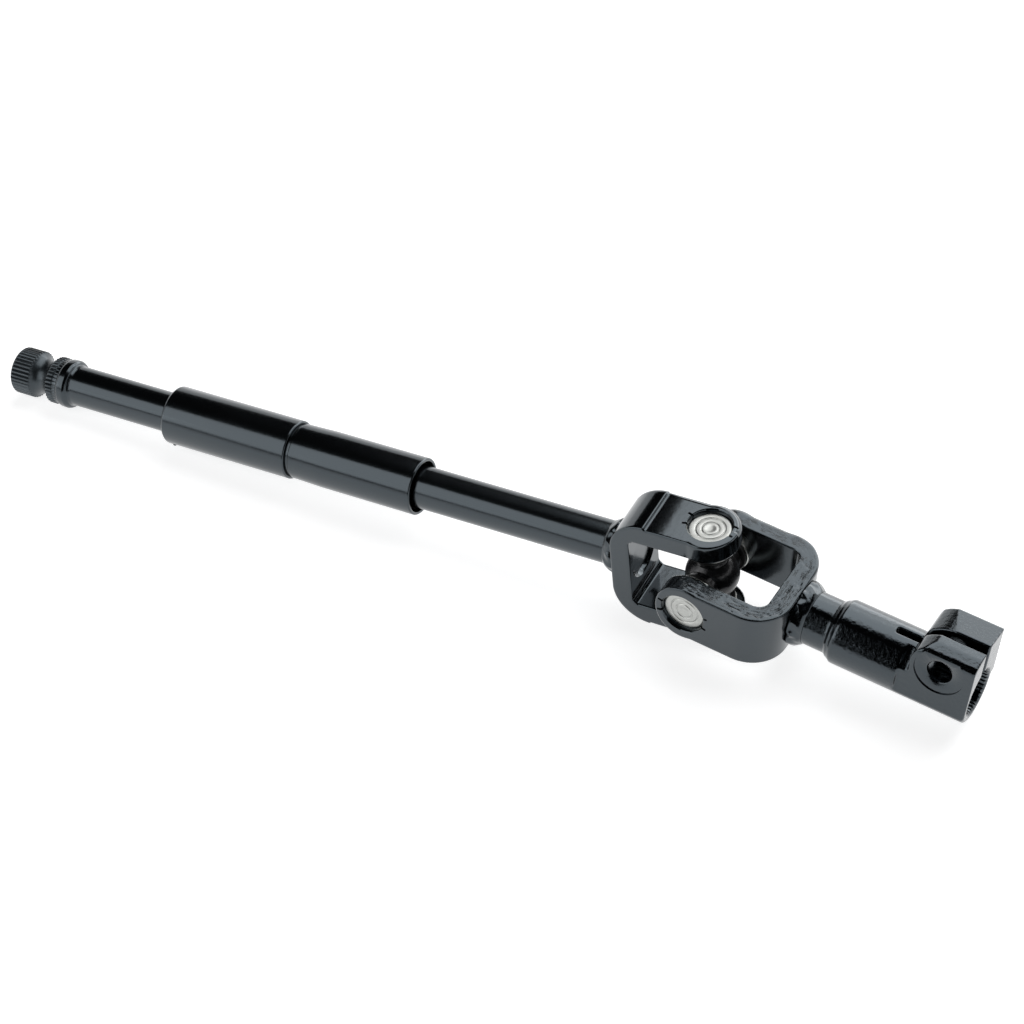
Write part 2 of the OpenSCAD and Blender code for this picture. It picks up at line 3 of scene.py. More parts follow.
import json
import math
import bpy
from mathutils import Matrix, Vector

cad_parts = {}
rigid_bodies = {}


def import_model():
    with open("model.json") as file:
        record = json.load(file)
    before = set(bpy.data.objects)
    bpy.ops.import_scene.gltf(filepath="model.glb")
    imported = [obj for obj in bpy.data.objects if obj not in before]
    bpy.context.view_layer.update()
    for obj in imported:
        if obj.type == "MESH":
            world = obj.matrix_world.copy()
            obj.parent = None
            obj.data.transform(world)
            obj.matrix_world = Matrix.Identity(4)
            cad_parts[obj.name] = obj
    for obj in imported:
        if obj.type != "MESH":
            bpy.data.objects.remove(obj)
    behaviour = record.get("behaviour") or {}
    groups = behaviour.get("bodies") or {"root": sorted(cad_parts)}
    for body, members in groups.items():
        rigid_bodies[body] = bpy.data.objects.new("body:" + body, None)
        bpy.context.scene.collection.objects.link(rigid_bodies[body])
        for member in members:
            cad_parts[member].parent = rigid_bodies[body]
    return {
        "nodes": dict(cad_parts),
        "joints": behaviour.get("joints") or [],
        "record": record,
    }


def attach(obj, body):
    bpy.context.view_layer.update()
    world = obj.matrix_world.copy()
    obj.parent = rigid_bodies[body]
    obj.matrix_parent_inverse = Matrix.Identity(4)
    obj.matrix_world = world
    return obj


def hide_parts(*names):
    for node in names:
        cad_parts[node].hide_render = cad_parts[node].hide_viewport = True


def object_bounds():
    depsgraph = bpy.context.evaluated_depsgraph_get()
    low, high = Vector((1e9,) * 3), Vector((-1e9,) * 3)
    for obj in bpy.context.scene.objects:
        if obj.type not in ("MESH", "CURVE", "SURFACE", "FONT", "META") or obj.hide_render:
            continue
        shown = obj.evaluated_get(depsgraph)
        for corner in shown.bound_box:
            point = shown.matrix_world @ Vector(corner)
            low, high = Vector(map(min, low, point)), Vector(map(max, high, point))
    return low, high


bl_info = {
    "name": "Steering Column Shaft",
    "version": (1, 0, 0),
    "blender": (4, 5, 0),
    "location": "View3D > Sidebar > Column Shaft",
    "description": "Builds the painted shaft, its universal joint and its pinch clamp",
    "category": "Add Mesh",
}

import bmesh
import bpy
from bpy.props import FloatProperty, FloatVectorProperty, IntProperty, PointerProperty
from mathutils import Matrix, Vector, noise

for leftover in list(bpy.data.objects):
    bpy.data.objects.remove(leftover)
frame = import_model()
solid_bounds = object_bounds()
joints = {joint["name"]: joint for joint in frame["joints"]}
mounts = {mount["name"]: mount for mount in frame["record"]["mounts"]}


# Local frames


def placed(x, y, z, at):
    """Matrix of a frame from its three axes and its origin."""
    matrix = Matrix((x, y, z)).transposed().to_4x4()
    matrix.translation = Vector(at)
    return matrix


def local_frame(origin, x, y):
    """Matrix of a frame from its origin and its rough X and Y axes."""
    x = Vector(x).normalized()
    z = x.cross(Vector(y)).normalized()
    return placed(x, z.cross(x), z, origin)


def turned(degrees, axis):
    """Matrix of a turn round one axis."""
    return Matrix.Rotation(math.radians(degrees), 4, axis)


ALONG = Vector(joints["shaft_slide"]["axis"])
UPRIGHT = Vector(joints["yoke_pivot"]["axis"])
ACROSS = Vector(joints["clamp_pivot"]["axis"])
CENTRE = Vector(joints["yoke_pivot"]["pos_m"])
CLAMP_ALONG = Vector(mounts["gear_clamp"]["axis"])
SHAFT = local_frame((0, 0, 0), ALONG, UPRIGHT.cross(ALONG))
UPPER = local_frame(CENTRE, ALONG, UPRIGHT.cross(ALONG))
CROSS = local_frame(CENTRE, ACROSS.cross(UPRIGHT), ACROSS)
LOWER = local_frame(CENTRE, CLAMP_ALONG, ACROSS)
CLAMP = local_frame(CENTRE, CLAMP_ALONG, -Vector(mounts["bolt_hole"]["axis"]))
TO_NEAR = turned(90, "X")
TO_FAR = turned(-90, "X")
UPSIDE_DOWN = turned(180, "X")
TO_X = turned(90, "Y")
FROM_X = TO_X.inverted()


# Sizes and colours


def length(name, description, default):
    return FloatProperty(
        name=name, description=description, default=default, unit="LENGTH", precision=5
    )


def share(name, description, default):
    return FloatProperty(
        name=name, description=description, default=default, min=0, max=1, subtype="FACTOR"
    )


def colour(name, description, default):
    return FloatVectorProperty(
        name=name, description=description, default=default, min=0, max=1, subtype="COLOR"
    )


class ShaftSizes(bpy.types.PropertyGroup):
    """Sizes of the two shafts and the sleeve"""

    serration_d: length("Serrations", "Outside diameter of the serrations", 0.0172)
    serration_depth: length("Serration depth", "Depth of one serration", 0.0006)
    serration_count: IntProperty(
        name="Serration count", description="Serrations around the shaft", default=36
    )
    serration_share: share("Groove share", "Share of the pitch that a groove takes", 0.58)
    land_end: length("Land end", "End of the second serrated land", 0.0182)
    groove_x: length("Groove", "Middle of the bolt groove from the face", 0.0117)
    groove_r: length("Groove radius", "Radius of the bolt groove's section", 0.0042)
    groove_centre: length("Groove centre", "Distance of that section's centre", 0.0103)
    tip_chamfer: length("Tip chamfer", "Chamfer at the tip's face", 0.0005)
    neck_d: length("Neck", "Diameter of the neck before the collar", 0.0166)
    collar_x: length("Collar", "Start of the collar", 0.0198)
    collar_end: length("Collar end", "End of the collar", 0.0246)
    collar_d: length("Collar diameter", "Diameter of the collar", 0.0178)
    upper_d: length("Upper shaft", "Diameter of the upper shaft", 0.0146)
    upper_end: length("Upper shaft end", "End of the upper shaft in the sleeve", 0.0833)
    sleeve_x: length("Sleeve", "Start of the sleeve", 0.0667)
    seam_x: length("Seam", "End of the sleeve's upper part", 0.1182)
    seam_gap: length("Seam gap", "Width of the groove between the parts", 0.0012)
    sleeve_upper_d: length("Sleeve upper", "Diameter of the sleeve's upper part", 0.0211)
    sleeve_lower_d: length("Sleeve lower", "Diameter of the sleeve's lower part", 0.0204)
    sleeve_neck_d: length("Sleeve neck", "Diameter next to the groove", 0.0198)
    sleeve_neck: length("Neck length", "Length over which the lower part widens", 0.012)
    spigot_d: length("Spigot", "Diameter of the spigot between the parts", 0.019)
    spigot_x: length("Spigot start", "Start of the spigot", 0.1012)
    bore_d: length("Bore", "Bore of the sleeve", 0.017)
    mouth_x: length("Mouth", "Open end of the sleeve", 0.1685)
    mouth_d: length("Mouth recess", "Diameter of the recess in the mouth", 0.0182)
    mouth_depth: length("Mouth depth", "Depth of that recess", 0.006)
    bush_x: length("Bush", "Start of the guide bush", 0.1131)
    bush_end: length("Bush end", "End of the guide bush", 0.1331)
    bush_flat: length("Bush flat", "Distance of the seat's flats from the axis", 0.00742)
    lower_d: length("Lower shaft", "Diameter of the lower shaft", 0.015)
    lower_x: length("Lower shaft start", "Start of the lower shaft", 0.1009)
    lower_end: length("Lower shaft end", "End of the lower shaft", 0.2517)
    flats_across: length("Flats", "Distance across the flats", 0.0128)
    flats_end: length("Flats end", "End of the flats", 0.1531)
    ring_x: length("Ring groove", "Start of the stop ring's groove", 0.10338)
    ring_width: length("Ring width", "Width of that groove", 0.00154)
    ring_r: length("Ring seat", "Radius of that groove's floor", 0.0054)
    sleeve_edge: length("Sleeve edge", "Chamfer on the sleeve's first rim", 0.0009)
    back_x: length("Yoke back", "Outside of the upper yoke's base", 0.2457)


class YokeSizes(bpy.types.PropertyGroup):
    """Sizes of the yokes, their welds, the bearings and the cross"""

    reach: length("Reach", "From the joint's centre to a yoke's base", 0.0252)
    wall: length("Wall", "Thickness of the strap", 0.0072)
    span: length("Span", "Distance over the ears", 0.0432)
    width: length("Width", "Width of the strap", 0.0212)
    ear_d: length("Ear", "Diameter of the rounded ears", 0.0224)
    ear_nose: share("Ear nose", "Share of the ear's radius that its end reaches", 0.9)
    bend_r: length("Bend", "Outer radius where the strap bends", 0.0135)
    upper_inner_r: length("Upper inner bend", "Inner radius of the upper yoke", 0.0015)
    lower_inner_r: length("Lower inner bend", "Inner radius of the lower yoke", 0.004)
    mill_out: length("Outer milling", "Depth milled off the ears' outside", 0.0005)
    mill_in: length("Inner milling", "Depth milled off the ears' inside", 0.0006)
    mill_x: length("Milling end", "End of the outer milling", 0.0192)
    mill_run: length("Milling run", "Length over which that milling runs out", 0.0075)
    mill_drop: length("Milling drop", "How much deeper it is at its end", 0.00026)
    mill_gap: length("Inner milling end", "From the base to the inner milling", 0.0013)
    soft_round: length("Rolled edge", "Rounding of the straps' rolled outer edges", 0.003)
    hard_round: length("Cut edge", "Rounding of the straps' cut outer edges", 0.0007)
    grain: length("Grain", "Size of the faces that a strap is smoothed in", 0.00035)
    tear: length("Tear", "Depth of the cracks on the sheared side", 0.0004)
    recess: length("Recess", "Depth of a shaft's end in the base", 0.0012)
    weld_height: length("Weld height", "Height of a weld bead", 0.0024)
    weld_length: length("Weld length", "Length of a weld bead", 0.0047)
    cup_d: length("Cup", "Diameter of a bearing cup", 0.015)
    cup_out: length("Cup end", "Outer end of a cup", 0.02)
    cup_mouth: length("Cup mouth", "Inner end of a cup", 0.011)
    cup_wall: length("Cup wall", "Wall of a cup", 0.001)
    cup_floor: length("Cup floor", "Thickness of a cup's closed end", 0.0012)
    trunnion_d: length("Trunnion", "Diameter of a trunnion", 0.00968)
    trunnion_end: length("Trunnion end", "End of a trunnion", 0.01816)
    root_d: length("Root", "Diameter of a trunnion's root", 0.012)
    root_end: length("Root end", "End of a trunnion's root", 0.00956)
    body_d: length("Cross body", "Diameter of the cross's body", 0.0182)
    seat: length("Seat", "Gap between fitted pieces", 0.00002)


class ClampSizes(bpy.types.PropertyGroup):
    """Sizes of the pinch clamp"""

    spigot_d: length("Spigot", "Diameter of the end in the lower yoke", 0.015)
    stub_d: length("Stub", "Diameter of the stub", 0.0184)
    stub_end: length("Stub end", "End of the stub", 0.0452)
    body_x: length("Body", "Start of the round body", 0.0478)
    body_end: length("Face", "The clamp's face", 0.0957)
    body_d: length("Body diameter", "Diameter of the round body", 0.0224)
    bore_depth: length("Bore depth", "Depth of the serrated bore", 0.028)
    relief: length("Relief", "Length of the relief behind the bore", 0.0035)
    relief_d: length("Relief diameter", "Diameter of the relief", 0.0178)
    slit_width: length("Slit", "Width of the slit", 0.0026)
    slit_length: length("Slit length", "Length of the slit", 0.0304)
    ear_height: length("Tapped ear", "Height of the tapped ear next to the slit", 0.0196)
    ear_drop: length("Ear drop", "Drop of the tapped ear's top to its face", 0.0013)
    near_height: length("Near ear", "Height of the near ear", 0.0184)
    bolt_back: length("Bolt", "From the face to the bolt's axis", 0.0115)
    bolt_offset: length("Bolt offset", "From the clamp's axis to the bolt's", 0.0103)
    bolt_hole_d: length("Bolt hole", "Clearance hole of the bolt", 0.0084)
    core_d: length("Thread core", "Core of the tapped hole", 0.0068)
    shoulder_r: length("Shoulder", "Radius of the ears' shoulder", 0.0102)
    head_face: length("Head face", "From the axis to the near ear's face", 0.0099)
    tapped_face: length("Tapped face", "From the axis to the far ear's face", 0.0128)
    spot_d: length("Spot face", "Diameter of the spot face", 0.0172)
    spot_depth: length("Spot depth", "Depth of the spot face", 0.0005)
    lead: length("Lead", "Chamfer at the bore's mouth", 0.0008)
    bevel_width: length("Bevel width", "Width of the near ear's bevel", 0.0046)
    bevel_height: length("Bevel height", "Height of the near ear's bevel", 0.0008)
    corner: length("Corner", "How far the ears' rounded corner reaches along the top", 0.008)
    nose_r: length("Nose", "Rounding of the near ear's long upper edge", 0.0026)
    facet_depth: length("Flat depth", "Depth of the flat under the ear", 0.0008)
    facet_gap: length("Flat start", "From the slit's end to that flat", 0.0057)
    grain: length("Grain", "Size of the faces that the casting is smoothed in", 0.0003)
    thread_pitch: length("Thread pitch", "Pitch of the tapped hole's thread", 0.00125)
    thread_depth: length("Thread depth", "Depth of that thread", 0.00055)


class PaintLook(bpy.types.PropertyGroup):
    """Colours and gloss of the finishes"""

    black: colour("Black", "Colour of the paint", (0.0011, 0.0012, 0.0014))
    black_tint: colour("Gloss tint", "Tint of the paint's gloss", (0.74, 0.89, 1.0))
    roughness: share("Roughness", "Roughness of the paint", 0.19)
    density: FloatProperty(name="Density", description="Refraction of the paint", default=1.7)
    coat: share("Coat", "Weight of the gloss over the paint", 0.2)
    cap: colour("Cap", "Colour of the bearing caps", (0.52, 0.53, 0.51))
    steel: colour("Steel", "Colour of ground steel", (0.55, 0.56, 0.56))
    forged: colour("Forged", "Colour of the cross", (0.035, 0.035, 0.037))
    nylon: colour("Nylon", "Colour of the bush", (0.72, 0.70, 0.62))
    rubber: colour("Rubber", "Colour of the seals", (0.012, 0.012, 0.012))


class StudioLook(bpy.types.PropertyGroup):
    """Camera, floor and lamps"""

    camera_at: FloatVectorProperty(
        name="Camera", description="Place of the camera",
        default=(0.53845, -0.58858, 0.67934), subtype="XYZ",
    )
    camera_right: FloatVectorProperty(
        name="Camera right", description="Direction of the picture's right side",
        default=(0.88725, 0.45949, -0.04065), subtype="DIRECTION",
    )
    camera_back: FloatVectorProperty(
        name="Camera back", description="Direction from the object to the camera",
        default=(0.35251, -0.61855, 0.70223), subtype="DIRECTION",
    )
    lens: FloatProperty(name="Lens", description="Focal length in mm", default=98.4375)
    floor: colour("Floor", "Colour of the floor", (0.62, 0.625, 0.63))
    floor_glow: share("Floor glow", "What lifts the pale floor to white", 0.76)
    floor_r: length("Floor radius", "Radius of the flat floor", 1.3)
    wall_r: length("Wall radius", "Radius of the backdrop's wall", 1.75)
    wall_height: length("Wall height", "Height of the backdrop", 0.62)
    middle: length("Middle", "Middle of the floor along X", 0.18)
    panel: FloatProperty(
        name="Panel brightness", description="Brightness of the soft panels", default=1.75
    )
    ceiling: colour("Ceiling", "Colour above the backdrop", (0.004, 0.0044, 0.005))


GROUPS = {
    "column_shaft": ShaftSizes,
    "column_yokes": YokeSizes,
    "column_clamp": ClampSizes,
    "column_paint": PaintLook,
    "column_studio": StudioLook,
}


# Mesh helpers

# Chamfers of turned ends, and how far a cutter reaches through a yoke
EDGE = 0.0006
FINE_EDGE = 0.0003
THROUGH = 0.04


def linked(name, data):
    """A new object with this data, in the scene."""
    item = bpy.data.objects.new(name, data)
    bpy.context.scene.collection.objects.link(item)
    return item


def baked(name, bm):
    """A new mesh from a bmesh, which is freed."""
    mesh = bpy.data.meshes.new(name)
    bm.to_mesh(mesh)
    bm.free()
    return mesh


def drop(item):
    """Removes a helper object and its mesh."""
    mesh = item.data
    bpy.data.objects.remove(item)
    bpy.data.meshes.remove(mesh)


def moved(bm, matrix):
    """The bmesh after a move or turn."""
    bmesh.ops.transform(bm, matrix=matrix, verts=bm.verts)
    return bm


def lathe(profile, steps=96):
    """Turns a profile of (distance along X, radius) round the X axis."""
    bm = bmesh.new()
    verts = [bm.verts.new((x, 0, r)) for x, r in profile]
    edges = [bm.edges.new(pair) for pair in zip(verts, verts[1:])]
    bmesh.ops.spin(
        bm, geom=verts + edges, cent=(0, 0, 0), axis=(1, 0, 0),
        angle=2 * math.pi, steps=steps, use_merge=True, use_duplicate=False,
    )
    bmesh.ops.remove_doubles(bm, verts=bm.verts, dist=1e-7)
    bmesh.ops.recalc_face_normals(bm, faces=bm.faces)
    return bm


def rounded(profile, radius, steps=3):
    """A profile with every real corner rounded, except its two ends."""
    out = [profile[0]]
    for before, here, after in zip(profile, profile[1:], profile[2:]):
        a, p, b = Vector(before), Vector(here), Vector(after)
        reach = min(radius, 0.45 * (a - p).length, 0.45 * (b - p).length)
        first, last = p + (a - p).normalized() * reach, p + (b - p).normalized() * reach
        for i in range(steps + 1):
            t = i / steps
            q = first * (1 - t) ** 2 + p * (2 * t * (1 - t)) + last * t**2
            out.append(tuple(q))
    out.append(profile[-1])
    return out


def arc(centre, radius, start, end, steps):
    """Points on an arc, both ends included, angles in degrees."""
    points = []
    for i in range(steps + 1):
        a = math.radians(start + (end - start) * i / steps)
        points.append((centre[0] + radius * math.cos(a), centre[1] + radius * math.sin(a)))
    return points


def prism(outline, axis, start, end):
    """A closed outline across an axis, extruded from start to end."""
    bm = bmesh.new()
    plane = [i for i in range(3) if i != axis]
    verts = []
    for u, v in outline:
        point = Vector((0, 0, 0))
        point[axis], point[plane[0]], point[plane[1]] = start, u, v
        verts.append(bm.verts.new(point))
    grown = bmesh.ops.extrude_face_region(bm, geom=[bm.faces.new(verts)])
    step = Vector((0, 0, 0))
    step[axis] = end - start
    far_verts = [g for g in grown["geom"] if isinstance(g, bmesh.types.BMVert)]
    bmesh.ops.translate(bm, vec=step, verts=far_verts)
    bmesh.ops.recalc_face_normals(bm, faces=bm.faces)
    return bm


def block(low, high):
    """A box between two corners."""
    bm = bmesh.new()
    low, high = Vector(low), Vector(high)
    bmesh.ops.create_cube(bm, size=1)
    bmesh.ops.scale(bm, vec=high - low, verts=bm.verts)
    bmesh.ops.translate(bm, vec=(low + high) / 2, verts=bm.verts)
    return bm


def rod(start, end, r1, r2=None, turn=Matrix.Identity(4), steps=96):
    """A cylinder or cone along Z from start to end, then turned."""
    bm = bmesh.new()
    bmesh.ops.create_cone(
        bm, cap_ends=True, segments=steps, radius1=r1, radius2=r1 if r2 is None else r2,
        depth=end - start, matrix=turn @ Matrix.Translation((0, 0, (start + end) / 2)),
    )
    return bm


def modified(bm, kind, **settings):
    """The bmesh after one modifier with these settings."""
    item = linked("blank", baked("blank", bm))
    modifier = item.modifiers.new("shape", kind)
    for key, value in settings.items():
        setattr(modifier, key, value)
    graph = bpy.context.evaluated_depsgraph_get()
    made = bpy.data.meshes.new_from_object(item.evaluated_get(graph))
    shape = bmesh.new()
    shape.from_mesh(made)
    drop(item)
    bpy.data.meshes.remove(made)
    if not shape.faces:
        raise RuntimeError("a modifier left nothing of its shape")
    return shape


def carve(base, *tools, operation="DIFFERENCE"):
    """The base bmesh after an exact boolean with each tool in turn."""
    for tool in tools:
        item = linked("tool", baked("tool", tool))
        base = modified(base, "BOOLEAN", operation=operation, solver="EXACT", object=item)
        drop(item)
    return base


def cast(bm, grain, passes, keep, shape=None):
    """Remakes a shape in small even faces, moves them and smooths them round at the edges."""
    bm = modified(bm, "REMESH", mode="VOXEL", voxel_size=grain)
    if shape:
        shape(bm)
    for _ in range(passes):
        bmesh.ops.smooth_vert(
            bm, verts=bm.verts, factor=0.5, use_axis_x=True, use_axis_y=True, use_axis_z=True
        )
    return modified(bm, "DECIMATE", decimate_type="COLLAPSE", ratio=keep)


def joined(parts):
    """One bmesh that holds all of these."""
    whole = bmesh.new()
    for part in parts:
        mesh = baked("part", part)
        whole.from_mesh(mesh)
        bpy.data.meshes.remove(mesh)
    return whole


def add_piece(bm, name, matrix, body, finish, node, angle=35):
    """Makes the finished object at the origin, and lets it ride and stand for its node."""
    moved(bm, matrix)
    bmesh.ops.recalc_face_normals(bm, faces=bm.faces)
    mesh = baked(name, bm)
    mesh.shade_smooth()
    mesh.set_sharp_from_angle(angle=math.radians(angle))
    mesh.materials.append(finishes()[finish])
    made = linked(name, mesh)
    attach(made, body)
    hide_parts(node)


def dress(node, finish):
    """Gives a CAD node one of the finishes."""
    mesh = frame["nodes"][node].data
    mesh.materials.clear()
    mesh.materials.append(finishes()[finish])


# Finishes


class Wire:
    """A shader socket that can be used in Python expressions."""

    def __init__(self, finish, socket):
        self.finish, self.socket = finish, socket

    def math(self, operation, *values):
        inputs = dict(enumerate(values))
        node = self.finish.node("ShaderNodeMath", {"operation": operation}, inputs)
        return Wire(self.finish, node.outputs[0])

    def __add__(self, other):
        return self.math("ADD", self, other)

    def __radd__(self, other):
        return self.math("ADD", other, self)

    def __sub__(self, other):
        return self.math("SUBTRACT", self, other)

    def __rsub__(self, other):
        return self.math("SUBTRACT", other, self)

    def __mul__(self, other):
        return self.math("MULTIPLY", self, other)

    def __abs__(self):
        return self.math("ABSOLUTE", self)

    def larger(self, other):
        return self.math("MAXIMUM", self, other)

    def smaller(self, other):
        return self.math("MINIMUM", self, other)

    def sine(self):
        return self.math("SINE", self)

    def power(self, other):
        return self.math("POWER", self, other)

    def rise(self, low, high):
        """0 below low, 1 above high, smooth between."""
        node = self.finish.node(
            "ShaderNodeMapRange", {"interpolation_type": "SMOOTHSTEP"},
            {"Value": self, "From Min": low, "From Max": high},
        )
        return Wire(self.finish, node.outputs[0])


class Finish:
    """A material whose nodes are added one call at a time."""

    def __init__(self, name, **constants):
        self.material = bpy.data.materials.new(name)
        self.material.use_nodes = True
        self.tree = self.material.node_tree
        self.surface = next(n for n in self.tree.nodes if n.type == "BSDF_PRINCIPLED")
        for key, value in constants.items():
            socket = self.surface.inputs[key.replace("_", " ")]
            is_colour = socket.type == "RGBA"
            socket.default_value = (*value, 1) if is_colour else value
        self.place = self.node("ShaderNodeTexCoord").outputs["Object"]

    def node(self, kind, settings=None, inputs=None):
        """Adds a node, sets it, then fills or links its sockets."""
        node = self.tree.nodes.new(kind)
        for key, value in (settings or {}).items():
            setattr(node, key, value)
        for key, value in (inputs or {}).items():
            self.feed(node.inputs[key], value)
        return node

    def feed(self, socket, value):
        if isinstance(value, Wire):
            value = value.socket
        if isinstance(value, bpy.types.NodeSocket):
            self.tree.links.new(value, socket)
        else:
            socket.default_value = value

    def set(self, **links):
        for key, value in links.items():
            self.feed(self.surface.inputs[key.replace("_", " ")], value)

    def noise(self, size, detail=2.0, rough=0.5, stretch=None, place=None):
        """Noise with features of about that size in metres, around 0.5."""
        place = place or self.place
        if stretch:
            place = self.node(
                "ShaderNodeMapping", {"vector_type": "POINT"},
                {"Vector": place, "Scale": stretch},
            ).outputs[0]
        node = self.node(
            "ShaderNodeTexNoise", None,
            {"Vector": place, "Scale": 1 / size, "Detail": detail, "Roughness": rough},
        )
        return Wire(self, node.outputs[0])

    def blend(self, amount, first, second):
        """Mixes two colours by an amount."""
        node = self.node(
            "ShaderNodeMix", {"data_type": "RGBA"},
            {0: amount, 6: (*first, 1), 7: (*second, 1)},
        )
        return node.outputs[2]

    def bump(self, height, distance):
        """A normal from a height between 0 and 1 over that distance in metres."""
        node = self.node(
            "ShaderNodeBump", None, {"Height": height, "Distance": distance, "Strength": 1.0}
        )
        return node.outputs[0]

    def done(self, tone, roughness, height, distance):
        """The material, after its colour, roughness and relief are linked."""
        self.set(Base_Color=tone, Roughness=roughness, Normal=self.bump(height, distance))
        return self.material

    def along(self, origin, axis):
        """Distance of the surface point from an origin along an axis."""
        offset = self.node(
            "ShaderNodeVectorMath", {"operation": "SUBTRACT"},
            {0: self.place, 1: tuple(origin)},
        )
        dot = self.node(
            "ShaderNodeVectorMath", {"operation": "DOT_PRODUCT"},
            {0: offset.outputs[0], 1: tuple(axis)},
        )
        return Wire(self, dot.outputs[1])


def shade(tone, factor):
    """A colour made darker or brighter."""
    return tuple(c * factor for c in tone)


def gloss_black(name, look, coat_share):
    """A black material with the paint's gloss, whose coat takes a share of its roughness."""
    return Finish(
        name, Base_Color=look.black, Specular_Tint=look.black_tint, IOR=look.density,
        Coat_Weight=look.coat, Coat_Roughness=look.roughness * coat_share,
    )


def black_paint(name, look, peel=0.000012, peel_size=0.0016, rough=0.0, grain=0.0, worn_to=0):
    """Gloss black paint with orange peel, thin dust and softer patches."""
    finish = gloss_black(name, look, 0.6)
    cloud = finish.noise(0.03, 3.0, 0.55)
    fine = finish.noise(0.0007, 3.0, 0.6)
    dust = finish.noise(0.0022, 5.0, 0.7).rise(0.62, 0.74)
    tone = finish.blend(dust * 0.4, look.black, (c * 3 + 0.001 for c in look.black))
    if worn_to:
        station = finish.along(SHAFT.translation, SHAFT.col[0].to_3d())
        rough = (1.0 - station.rise(worn_to, worn_to + 0.001)) * 0.2
    roughness = look.roughness + rough + (cloud - 0.5) * 0.08 + (fine - 0.5) * 0.04
    height = finish.noise(peel_size, 2.0, 0.45)
    if grain:
        height = height + finish.noise(peel_size * 0.45, 4.0, 0.7) * grain
    return finish.done(tone, roughness, height, peel)


def sheared_paint(name, look, sizes, matrix, half_out):
    """Paint whose two sheared sides are torn along the strap's outline."""
    finish = gloss_black(name, look, 1.0)
    u, v, w = (finish.along(matrix.translation, matrix.col[i].to_3d()) for i in range(3))
    side = abs(w).rise(sizes.width / 2 - 0.0010, sizes.width / 2 - 0.0004)
    arm = sizes.reach + sizes.wall - sizes.bend_r
    run = (u - arm).larger(0.0)
    climb = (abs(v) - (half_out - sizes.bend_r)).larger(0.0)
    inset = sizes.bend_r - (run * run + climb * climb).power(0.5)
    vector = finish.node(
        "ShaderNodeCombineXYZ", None, {0: inset * 7.0, 1: u, 2: v}
    ).outputs[0]
    torn = finish.noise(0.0052, 5.0, 0.62, place=vector)
    crack = 1.0 - (abs(torn - 0.5) * 30.0).smaller(1.0)
    zone = inset.rise(0.0010, 0.0020) * (1.0 - inset.rise(0.0056, 0.0068))
    coarse = finish.noise(0.0012, 4.0, 0.65)
    worn = finish.noise(0.004, 2.0, 0.5).rise(0.40, 0.56)
    torn_height = side * zone * worn * crack
    peel = finish.noise(0.0016, 2.0, 0.45)
    height = peel * 0.08 + side * coarse * 0.12 - torn_height * 0.85
    cloud = finish.noise(0.03, 3.0, 0.55)
    roughness = look.roughness - 0.03 + side * 0.09 + (cloud - 0.5) * 0.08
    finish.set(Roughness=roughness, Normal=finish.bump(height, 0.00016))
    return finish.material


def cap_steel(look, matrix, name):
    """Turned steel of a bearing cap, with fine rings round its axis."""
    finish = Finish(name, Metallic=1.0)
    u, v = (finish.along(matrix.translation, matrix.col[i].to_3d()) for i in range(2))
    radius, pitch = (u * u + v * v).power(0.5), 0.00042
    ring = (radius * (2 * math.pi / pitch)).sine()
    cloud = finish.noise(0.002, 4.0, 0.6)
    tone = finish.blend(cloud.rise(0.35, 0.7), shade(look.cap, 0.86), look.cap)
    return finish.done(tone, 0.36 + (cloud - 0.5) * 0.14, ring * 0.5 + 0.5, 0.0000015)


def plain_steel(name, colour_value, rough, scratch=(1, 1, 1)):
    """Ground or drawn steel with fine streaks."""
    finish = Finish(name, Metallic=1.0)
    streak = finish.noise(0.0008, 4.0, 0.6, stretch=scratch)
    tone = finish.blend(streak, shade(colour_value, 0.8), colour_value)
    return finish.done(tone, rough + (streak - 0.5) * 0.15, streak, 0.000008)


def forged_steel(look):
    """Dark forged steel of the cross, lightly oiled."""
    finish = Finish("forged cross", Metallic=0.55, IOR=1.5)
    scale = finish.noise(0.0011, 5.0, 0.65)
    oil = finish.noise(0.006, 2.0, 0.5).rise(0.42, 0.6)
    tone = finish.blend(scale, shade(look.forged, 0.5), shade(look.forged, 1.5))
    return finish.done(tone, 0.30 - oil * 0.16, scale, 0.00006)


def moulded(name, colour_value, rough, grain):
    """Moulded nylon or rubber with a fine grain."""
    finish = Finish(name, IOR=1.5)
    fine = finish.noise(grain, 3.0, 0.6)
    cloud = finish.noise(0.004, 3.0, 0.5)
    tone = finish.blend(cloud, shade(colour_value, 0.85), colour_value)
    return finish.done(tone, rough + (fine - 0.5) * 0.12, fine, 0.00001)


def finishes():
    """The object's materials, made once and kept by name."""
    if "paint smooth" in bpy.data.materials:
        return bpy.data.materials
    scene = bpy.context.scene
    look, yokes = scene.column_paint, scene.column_yokes
    black_paint("paint smooth", look)
    land_end = scene.column_shaft.land_end
    black_paint("paint tip", look, peel=0.000010, peel_size=0.0010, worn_to=land_end)
    black_paint("paint sliding", look, peel=0.000016, peel_size=0.0012, rough=0.02)
    black_paint("paint cast", look, peel=0.00008, peel_size=0.0012, rough=-0.11, grain=0.5)
    black_paint("paint weld", look, peel=0.00007, peel_size=0.0014, rough=0.0, grain=0.4)
    black_paint("paint strap", look, peel=0.000016, peel_size=0.0020, rough=-0.08)
    sheared_paint("paint sheared", look, yokes, LOWER, yokes.span / 2)
    forged_steel(look)
    plain_steel("ground steel", look.steel, 0.25, (1, 1, 6))
    plain_steel("spring steel", look.steel, 0.32)
    moulded("nylon", look.nylon, 0.45, 0.0006)
    moulded("seal rubber", look.rubber, 0.55, 0.0005)
    return bpy.data.materials


# Pieces


